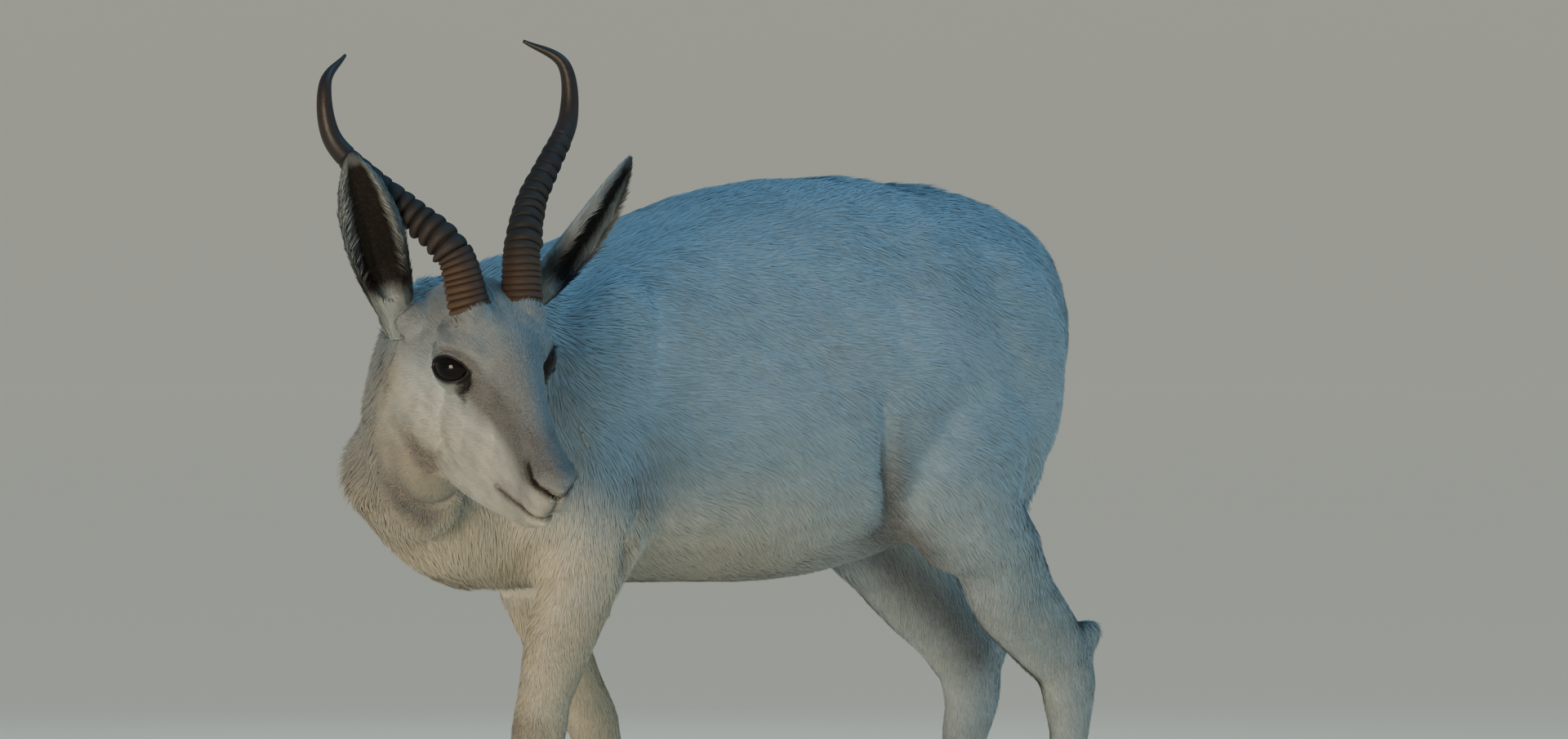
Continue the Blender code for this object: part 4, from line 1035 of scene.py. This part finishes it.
def coat_groups(skin, points):
    """Names of the coat's pieces on a skin, which tufts they hold, and the axis of each unwrap."""
    x, y, z = to_body(points).T
    if skin.part == "head":
        left = to_head(points)[:, 1] > 0
        around = (from_head((2, 0, -2.5)), HEAD_AXES[0], HEAD_AXES[2])
        return [("coat_face_left", left, *around), ("coat_face_right", ~left, *around)]
    if skin.part.startswith("ear"):
        root, _, along, _, face = ear_axes(skin.part[4:])
        every = np.ones(len(points), dtype=bool)
        return [("coat_" + skin.part, every, root, along, face)]
    groups = []
    tail = on_tail(points)
    leg = (z < 41) & ~tail
    for name, picked, place in (("foreleg_left", leg & (x < 5) & (y < -1), (-29, -8, 20)),
                                ("foreleg_right", leg & (x < 5) & (y >= -1), (-14, 4, 20)),
                                ("hindleg_left", leg & (x >= 5) & (y < 0), (36, -8.5, 20)),
                                ("hindleg_right", leg & (x >= 5) & (y >= 0), (36, 8, 20))):
        centre = BODY_ORIGIN + np.array(place) / 100
        groups.append(("coat_" + name, picked, centre, np.array((0.0, 0, 1)), np.array((1.0, 0, 0))))
    middle = BODY_ORIGIN + np.array((0, 0, 0.60))
    trunk = ~leg & ~tail
    for name, front, back in (("neck", -math.inf, -27), ("shoulders", -27, -8), ("barrel", -8, 11),
                              ("rump", 11, math.inf)):
        picked = trunk & (x >= front) & (x < back)
        for side, half in (("left", y < 0), ("right", y >= 0)):
            groups.append(("coat_" + name + "_" + side, picked & half, middle,
                           np.array((1.0, 0, 0)), np.array((0, 0, -1.0))))
    centre = BODY_ORIGIN + np.array((0.44, 0.016, 0.6))
    groups.append(("coat_tail", tail, centre, np.array((0, 0, 1.0)), np.array((1.0, 0, 0))))
    return groups


class SPRINGBOK_OT_skin(bpy.types.Operator):
    """One skin over all the flesh, below the tips of the coat, with the face's folds pressed in"""

    bl_idname = "springbok.skin"
    bl_label = "Skin"

    def execute(self, context):
        points, quads, marks = [], [], []
        start = 0
        for skin in skins():
            points.append(skin.points)
            quads.append(skin.quads + start)
            start += len(skin.points)
            marks.append(markings(skin.plain, skin.normals, skin.part))
        obj = mesh_object("skin", np.concatenate(points), np.concatenate(quads))
        for index, key in enumerate(("cream", "brown", "dark")):
            point_value(obj, key, np.concatenate([mark[index] for mark in marks]))
        finish_piece(obj, coat_material("skin", False), "coat", *FLESH, "ear_left", "ear_right")
        return {"FINISHED"}


class SPRINGBOK_OT_coat(bpy.types.Operator):
    """Thin overlapping tufts that follow the lie of the coat, in pieces by part of the body"""

    bl_idname = "springbok.coat"
    bl_label = "Coat"

    def execute(self, context):
        rng = np.random.default_rng(SEED)
        material = coat_material("coat", True)
        for skin in skins():
            rows = hair_rows(skin, rng)
            for name, picked, centre, axis, start in coat_groups(skin, rows[0]):
                if not picked.any():
                    continue
                chosen = [row[picked] for row in rows[:-1]] + [[mark[picked] for mark in rows[-1]]]
                unwrap = wrapped(chosen[0], centre, axis, start)
                coat_piece(name, (*chosen, unwrap), material)
        return {"FINISHED"}


class SPRINGBOK_OT_eyes(bpy.types.Operator):
    """Dark wet eyes with a bulging cornea over a brown iris and a wide pupil"""

    bl_idname = "springbok.eyes"
    bl_label = "Eyes"

    def execute(self, context):
        made = Material("eye", Roughness=0.05, Specular_IOR_Level=0.22)
        ring = made.attribute("iris")
        pupil = made.attribute("pupil")
        streaks = made.noise(900.0, 3.0)
        iris = made.blend(streaks, (0.014, 0.007, 0.004), (0.006, 0.004, 0.003))
        colour = made.blend(ring.step(0.62, 0.80), iris, (0.006, 0.004, 0.004))
        made.set("Base Color", made.blend(pupil, colour, (0.003, 0.003, 0.004)))
        rings, sides = 40, 48
        for label in SIDES:
            centre, radius, along, across, facing = eye_place(label)
            points, ring_share, pupil_share = [], [], []
            for i in range(rings):
                angle = math.pi * (i + 0.02) / (rings - 0.96)
                bulge = 1 + 0.022 * float(smooth(angle, 0.72, 0.30))
                for k in range(sides):
                    turn = 2 * math.pi * k / sides
                    u, v = math.sin(angle) * math.cos(turn), math.sin(angle) * math.sin(turn)
                    ray = along * u + across * v + facing * math.cos(angle)
                    points.append(centre + radius * bulge * ray)
                    ring_share.append(min(angle, 1.0))
                    pupil_share.append(float(smooth(math.hypot(u / 0.42, v / 0.24), 1.15, 0.95)))
            faces = tube_faces(rings, sides)[:, ::-1]
            obj = mesh_object("eye_ball_" + label, np.array(points), faces)
            face_outward(obj, sides * 3, facing)
            point_value(obj, "iris", ring_share)
            point_value(obj, "pupil", pupil_share)
            finish_piece(obj, made.made, "eye", "eye_" + label)
        return {"FINISHED"}


def lid_material():
    """Bare lid skin: near black at the wet edge, lilac grey with pale flecks away from it."""
    made = Material("eyelid", Roughness=0.42, Specular_IOR_Level=0.45)
    fleck = made.noise(500.0, 3.0)
    grey = made.blend(fleck.step(0.40, 0.70), (0.026, 0.021, 0.022), (0.060, 0.052, 0.056))
    outward = made.attribute("outward")
    made.set("Base Color", made.blend(outward.step(0.18, 0.60), (0.006, 0.005, 0.005), grey))
    made.bump(made.noise(700.0, 3.0), 0.3, 0.0004)
    return made.made


class SPRINGBOK_OT_lids(bpy.types.Operator):
    """A rolled lid edge round each eye, running out under the coat, with lashes on the upper one"""

    bl_idname = "springbok.lids"
    bl_label = "Eyelids"

    def execute(self, context):
        rng = np.random.default_rng(SEED + 1)
        made = lid_material()
        lash = Material("lash", Base_Color=(0.012, 0.010, 0.009), Roughness=0.5)
        sides = 72
        for label in SIDES:
            centre, radius, along, across, facing = eye_place(label)
            points, outward = [], []
            for grown, height, share in LID_PROFILE:
                for k in range(sides):
                    turn = 2 * math.pi * k / sides
                    point = lid_point(grown, turn)
                    ray = unit(facing + along * point[0] / radius + across * point[1] / radius)
                    points.append(centre + ray * (radius + height))
                    outward.append(share)
            obj = mesh_object("lids_" + label, np.array(points), tube_faces(len(LID_PROFILE), sides))
            face_outward(obj, sides * 4, facing)
            point_value(obj, "outward", outward)
            finish_piece(obj, made, "coat")
            roots, tips = [], []
            for turn in np.linspace(0.24, 0.80, 44) * math.pi:
                edge = lid_point(1.02, turn + rng.normal(0, 0.02))
                ray = unit(facing + along * edge[0] / radius + across * edge[1] / radius)
                root = centre + ray * (radius + 0.0014)
                out = unit(facing * 0.8 - across * rng.uniform(-0.1, 0.5) - along * rng.uniform(0.0, 0.4))
                roots.append(root)
                tips.append(root + out * rng.uniform(0.004, 0.0065))
            finish_piece(spikes("lashes_" + label, roots, tips, 0.00020, facing), lash.made, "eye")
        return {"FINISHED"}


def lid_point(grown, turn):
    """A point of the lids' almond, in metres along and across the eye."""
    power = 2 / EYE_POINTEDNESS
    u = math.copysign(abs(math.cos(turn)) ** power, math.cos(turn))
    v = math.copysign(abs(math.sin(turn)) ** power, math.sin(turn))
    return EYE_HALF_LENGTH * grown * u, EYE_HALF_HEIGHT * grown * v


def spikes(name, roots, tips, radius, towards):
    """Thin three-sided hairs that bend up a little, joined in one mesh."""
    points, faces = [], []
    for root, tip in zip(roots, tips):
        along = unit(tip - root)
        side = unit(np.cross(along, towards))
        up = np.cross(side, along)
        bend = (root + tip) / 2 - towards * 0.0006
        start = len(points)
        for place, size in ((root, 1.0), (bend, 0.7), (tip, 0.12)):
            for k in range(3):
                angle = 2 * math.pi * k / 3
                points.append(place + radius * size * (side * math.cos(angle) + up * math.sin(angle)))
        faces.extend((tube_faces(3, 3) + start).tolist())
    return mesh_object(name, np.array(points), np.array(faces))


class SPRINGBOK_OT_horns(bpy.types.Operator):
    """Ringed horns that sweep back, out and up to smooth hooked tips"""

    bl_idname = "springbok.horns"
    bl_label = "Horns"

    def execute(self, context):
        made = horn_material()
        for label in SIDES:
            obj = horn_object(label)
            finish_piece(obj, made, "horn", "horn_" + label)
        return {"FINISHED"}


def horn_object(label):
    """One horn: rings that swell from groove to ridge, closer and flatter at the base."""
    own = settings()
    rng = np.random.default_rng(SEED + 2)
    sign = SIGN[label]
    rows = curve_rows([(x, sign * y, z, share) for x, y, z, share in HORN_LINE], HORN_STEPS)
    steps = np.linalg.norm(np.diff(rows[:, :3], axis=0), axis=1)
    travelled = np.concatenate([[0], np.cumsum(steps)])
    # Shares of the way count from where the horn leaves the skull
    travelled = (travelled - travelled[HORN_STEPS]) / (travelled[-1] - travelled[HORN_STEPS])
    edges = np.concatenate([np.linspace(0.0, CLOSE_RINGS_END, own.close_rings + 1),
                            np.linspace(CLOSE_RINGS_END, WIDE_RINGS_END, own.wide_rings + 1)[1:]])
    edges[1:-1] += rng.normal(0, 0.0022, len(edges) - 2)
    heights = np.concatenate([np.full(own.close_rings, 0.15), np.linspace(0.50, 0.20, own.wide_rings)])
    heights *= rng.uniform(0.85, 1.15, len(heights))
    stations = list(np.linspace(travelled[0], edges[0], 6)[:-1])
    for low, high in zip(edges, edges[1:]):
        stations.extend(low + (high - low) * RING_SECTIONS)
    stations.extend(np.linspace(edges[-1], 1.0, 60))
    sides = 36
    points, share_along, ridge = [], [], []
    for share in stations:
        row = np.array([np.interp(share, travelled, rows[:, axis]) for axis in range(4)])
        ahead = np.array([np.interp(min(share + 0.012, 1), travelled, rows[:, axis]) for axis in range(3)])
        behind = np.array([np.interp(max(share - 0.012, 0), travelled, rows[:, axis]) for axis in range(3)])
        along = unit(ahead - behind)
        out = unit(np.array((0, sign, 0)) - along * (sign * along[1]))
        up = np.cross(along, out) * sign
        index = int(np.clip(np.searchsorted(edges, share, side="right") - 1, -1, len(heights)))
        swell, rise = 0.0, 0.0
        if 0 <= index < len(heights):
            t = (share - edges[index]) / (edges[index + 1] - edges[index])
            rise = math.sin(math.pi * t ** 0.75) ** 0.6 if 0 < t < 1 else 0.0
            swell = heights[index]
        for k in range(sides):
            angle = 2 * math.pi * k / sides
            front = 0.75 + 0.35 * math.cos(angle - 0.6)
            radius = row[3] * own.horn_radius / HEAD_UNIT * (0.99 + swell * (rise * front - 0.55))
            offset = out * math.cos(angle) * 0.94 + up * math.sin(angle) * 1.06
            points.append(row[:3] + offset * radius)
            share_along.append(share)
            ridge.append(rise * front)
    points = from_head(np.array(points))
    faces = tube_faces(len(stations), sides)
    tip = from_head(rows[-1:, :3])
    last = (len(stations) - 1) * sides
    cap = np.array([(last + k, last + (k + 1) % sides, len(points)) for k in range(sides)])
    obj = mesh_object("horn_ringed_" + label, np.concatenate([points, tip]), faces, cap)
    if sign < 0:
        obj.data.flip_normals()
    point_value(obj, "along", share_along + [1.0])
    point_value(obj, "ridge", ridge + [0.0])
    return obj


def horn_material():
    """Orange-brown at the base, blackish above, worn lighter on the ridges, polished at the tip."""
    own = settings()
    made = Material("horn", Specular_IOR_Level=0.45)
    along = made.attribute("along")
    ridge = made.attribute("ridge")
    grain = made.noise(160.0, 5.0, 0.65)
    stain = made.noise(38.0, 4.0)
    base = made.blend(along.step(0.15, 0.26), tuple(own.horn_base), tuple(own.horn_dark))
    worn = (ridge * (0.30 + grain * 0.9) * (1 - along)).clamped()
    colour = made.blend(worn * 0.34, base, (0.15, 0.105, 0.075))
    groove = ((1 - ridge) * (1 - along.step(0.60, 0.70)) * 0.80).clamped()
    colour = made.blend(groove, colour, (0.012, 0.009, 0.008))
    colour = made.blend(stain.step(0.50, 0.75) * 0.28, colour, (0.075, 0.045, 0.030))
    colour = made.blend(along.step(0.62, 0.75) * (1 - along.step(0.86, 1.0)) * 0.55, colour,
                        (0.034, 0.019, 0.014))
    made.set("Base Color", colour)
    made.set("Roughness", 0.62 - along.step(0.55, 0.75) * 0.24 + grain * 0.10)
    made.bump(grain * 0.7 + made.noise(420.0, 3.0) * 0.3, 0.45, 0.0009)
    return made.made


class SPRINGBOK_OT_hooves(bpy.types.Operator):
    """Two narrow pointed claws on each foot, with growth rings and a rounded wall"""

    bl_idname = "springbok.hooves"
    bl_label = "Hooves"

    def execute(self, context):
        own = settings()
        made = Material("hoof", Specular_IOR_Level=0.4)
        rings = add_node(made.tree, "ShaderNodeTexWave", {"wave_type": "BANDS", "bands_direction": "Z"},
                         {"Vector": made.place(), "Scale": 95.0, "Distortion": 2.5, "Detail": 2.0}, output=1)
        grain = made.noise(260.0, 4.0)
        height = made.attribute("height")
        colour = made.blend(grain.step(0.35, 0.75) * 0.5, tuple(own.hoof), (0.060, 0.048, 0.038))
        made.set("Base Color", made.blend((1 - height.step(0.0, 0.25)) * 0.5, colour, (0.11, 0.09, 0.07)))
        made.set("Roughness", 0.38 + grain * 0.25)
        made.bump(rings * 0.6 + grain * 0.4, 0.35, 0.0006)
        for leg in LEGS:
            for place in ("inner", "outer"):
                node = "hoof_" + leg + "_" + place
                finish_piece(claw_object("claw_" + leg + "_" + place, *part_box(node)), made.made, "hoof", node)
        return {"FINISHED"}


def claw_object(name, low, high):
    """A claw inside its box: a pointed sole, walls that lean back, and a domed top in the pastern."""
    sides = 40
    size = high - low
    middle = (low.y + high.y) / 2
    points, height_share = [], []
    for height, length, width, back in CLAW_RINGS:
        for k in range(sides):
            angle = 2 * math.pi * k / sides
            taper = 0.30 + 0.70 * math.sqrt(math.sin((math.cos(angle) + 1) * math.pi / 4))
            x = low.x + size.x * (back + length * (1 - back) * (0.5 + 0.5 * math.cos(angle)))
            y = middle + size.y / 2 * width * math.sin(angle) * taper
            points.append((x, y, low.z + size.z * height))
            height_share.append(height)
    bottom, top = len(points), len(points) + 1
    points.append((low.x + size.x * 0.5, middle, low.z))
    points.append((low.x + size.x * 0.62, middle, high.z))
    height_share += [0.0, 1.0]
    last = (len(CLAW_RINGS) - 1) * sides
    sole = np.array([((k + 1) % sides, k, bottom) for k in range(sides)])
    dome = np.array([(last + k, last + (k + 1) % sides, top) for k in range(sides)])
    obj = mesh_object(name, np.array(points), tube_faces(len(CLAW_RINGS), sides), sole, dome)
    obj.data.set_sharp_from_angle(angle=math.radians(50))
    point_value(obj, "height", height_share)
    return obj


def sweep_arrays():
    """A flat floor that sweeps up gently into a pale wall, far behind the animal on every side."""
    profile = [(reach, 0.0) for reach in (0.5, 2, 6, 12, 20, 30)]
    profile += [(30 + 12 * math.sin(a), 12 - 12 * math.cos(a)) for a in np.linspace(0.05, 1.0, 16)]
    sides = 96
    points = []
    for reach, height in profile:
        for k in range(sides):
            turn = 2 * math.pi * k / sides
            points.append((reach * math.cos(turn), reach * math.sin(turn), height - 0.0005))
    middle = len(points)
    points.append((0, 0, -0.0005))
    fan = np.array([(middle, k, (k + 1) % sides) for k in range(sides)])
    return np.array(points), tube_faces(len(profile), sides)[:, ::-1], fan


def turn_towards(obj, target):
    """Point a camera or light at a place given in metres from the body's middle."""
    gaze = Vector(BODY_ORIGIN) + Vector(target) - obj.location
    obj.rotation_mode = "QUATERNION"
    obj.rotation_quaternion = gaze.to_track_quat("-Z", "Y")


class SPRINGBOK_OT_stage(bpy.types.Operator):
    """A pale floor, soft lights, and the camera where the picture was taken from"""

    bl_idname = "springbok.stage"
    bl_label = "Stage"

    def execute(self, context):
        own = settings()
        floor = Material("floor", Roughness=0.9, Emission_Color=(1.0, 0.84, 0.64), Emission_Strength=0.20)
        drift = floor.noise(1.4, 3.0)
        pale = tuple(own.floor)
        floor.set("Base Color", floor.blend(drift * 0.10, pale, tuple(0.8 * part for part in pale)))
        ground = mesh_object("floor", *sweep_arrays())
        ground.data.materials.append(floor.made)

        camera = bpy.data.objects.new("camera", bpy.data.cameras.new("camera"))
        camera.data.lens = own.lens
        camera.data.sensor_width = 36
        camera.data.clip_end = 200
        camera.location = Vector(BODY_ORIGIN) + Vector(CAMERA_PLACE)
        turn_towards(camera, CAMERA_TARGET)
        context.scene.collection.objects.link(camera)
        context.scene.camera = camera

        for name, place, size, power, colour in LIGHTS:
            light = bpy.data.objects.new(name, bpy.data.lights.new(name, "AREA"))
            light.data.shape = "DISK"
            light.data.size = size
            light.data.energy = power
            light.data.color = colour
            light.location = Vector(BODY_ORIGIN) + Vector(place)
            turn_towards(light, (0, 0, 0.55))
            context.scene.collection.objects.link(light)
        world = bpy.data.worlds.new("sky")
        world.use_nodes = True
        background = world.node_tree.nodes["Background"]
        background.inputs["Color"].default_value = (0.46, 0.76, 1.0, 1)
        background.inputs["Strength"].default_value = 0.31
        context.scene.world = world
        return {"FINISHED"}


class SPRINGBOK_PT_panel(bpy.types.Panel):
    """Lists the pieces and their sizes"""

    bl_idname = "SPRINGBOK_PT_panel"
    bl_label = "Springbok"
    bl_space_type = "VIEW_3D"
    bl_region_type = "UI"
    bl_category = "Springbok"

    def draw(self, context):
        for key in SpringbokSettings.__annotations__:
            self.layout.prop(settings(), key)
        for operator in OPERATORS:
            self.layout.operator(operator.bl_idname)


OPERATORS = (SPRINGBOK_OT_stage, SPRINGBOK_OT_skin, SPRINGBOK_OT_eyes, SPRINGBOK_OT_lids,
             SPRINGBOK_OT_horns, SPRINGBOK_OT_hooves, SPRINGBOK_OT_coat)
CLASSES = (SpringbokSettings, *OPERATORS, SPRINGBOK_PT_panel)


def register():
    for cls in CLASSES:
        bpy.utils.register_class(cls)
    bpy.types.Scene.springbok = PointerProperty(type=SpringbokSettings)


def unregister():
    del bpy.types.Scene.springbok
    for cls in reversed(CLASSES):
        bpy.utils.unregister_class(cls)


def main():
    register()
    bpy.ops.springbok.stage()
    bpy.ops.springbok.skin()
    bpy.ops.springbok.eyes()
    bpy.ops.springbok.lids()
    bpy.ops.springbok.horns()
    bpy.ops.springbok.hooves()
    bpy.ops.springbok.coat()


if __name__ == "__main__":
    main()
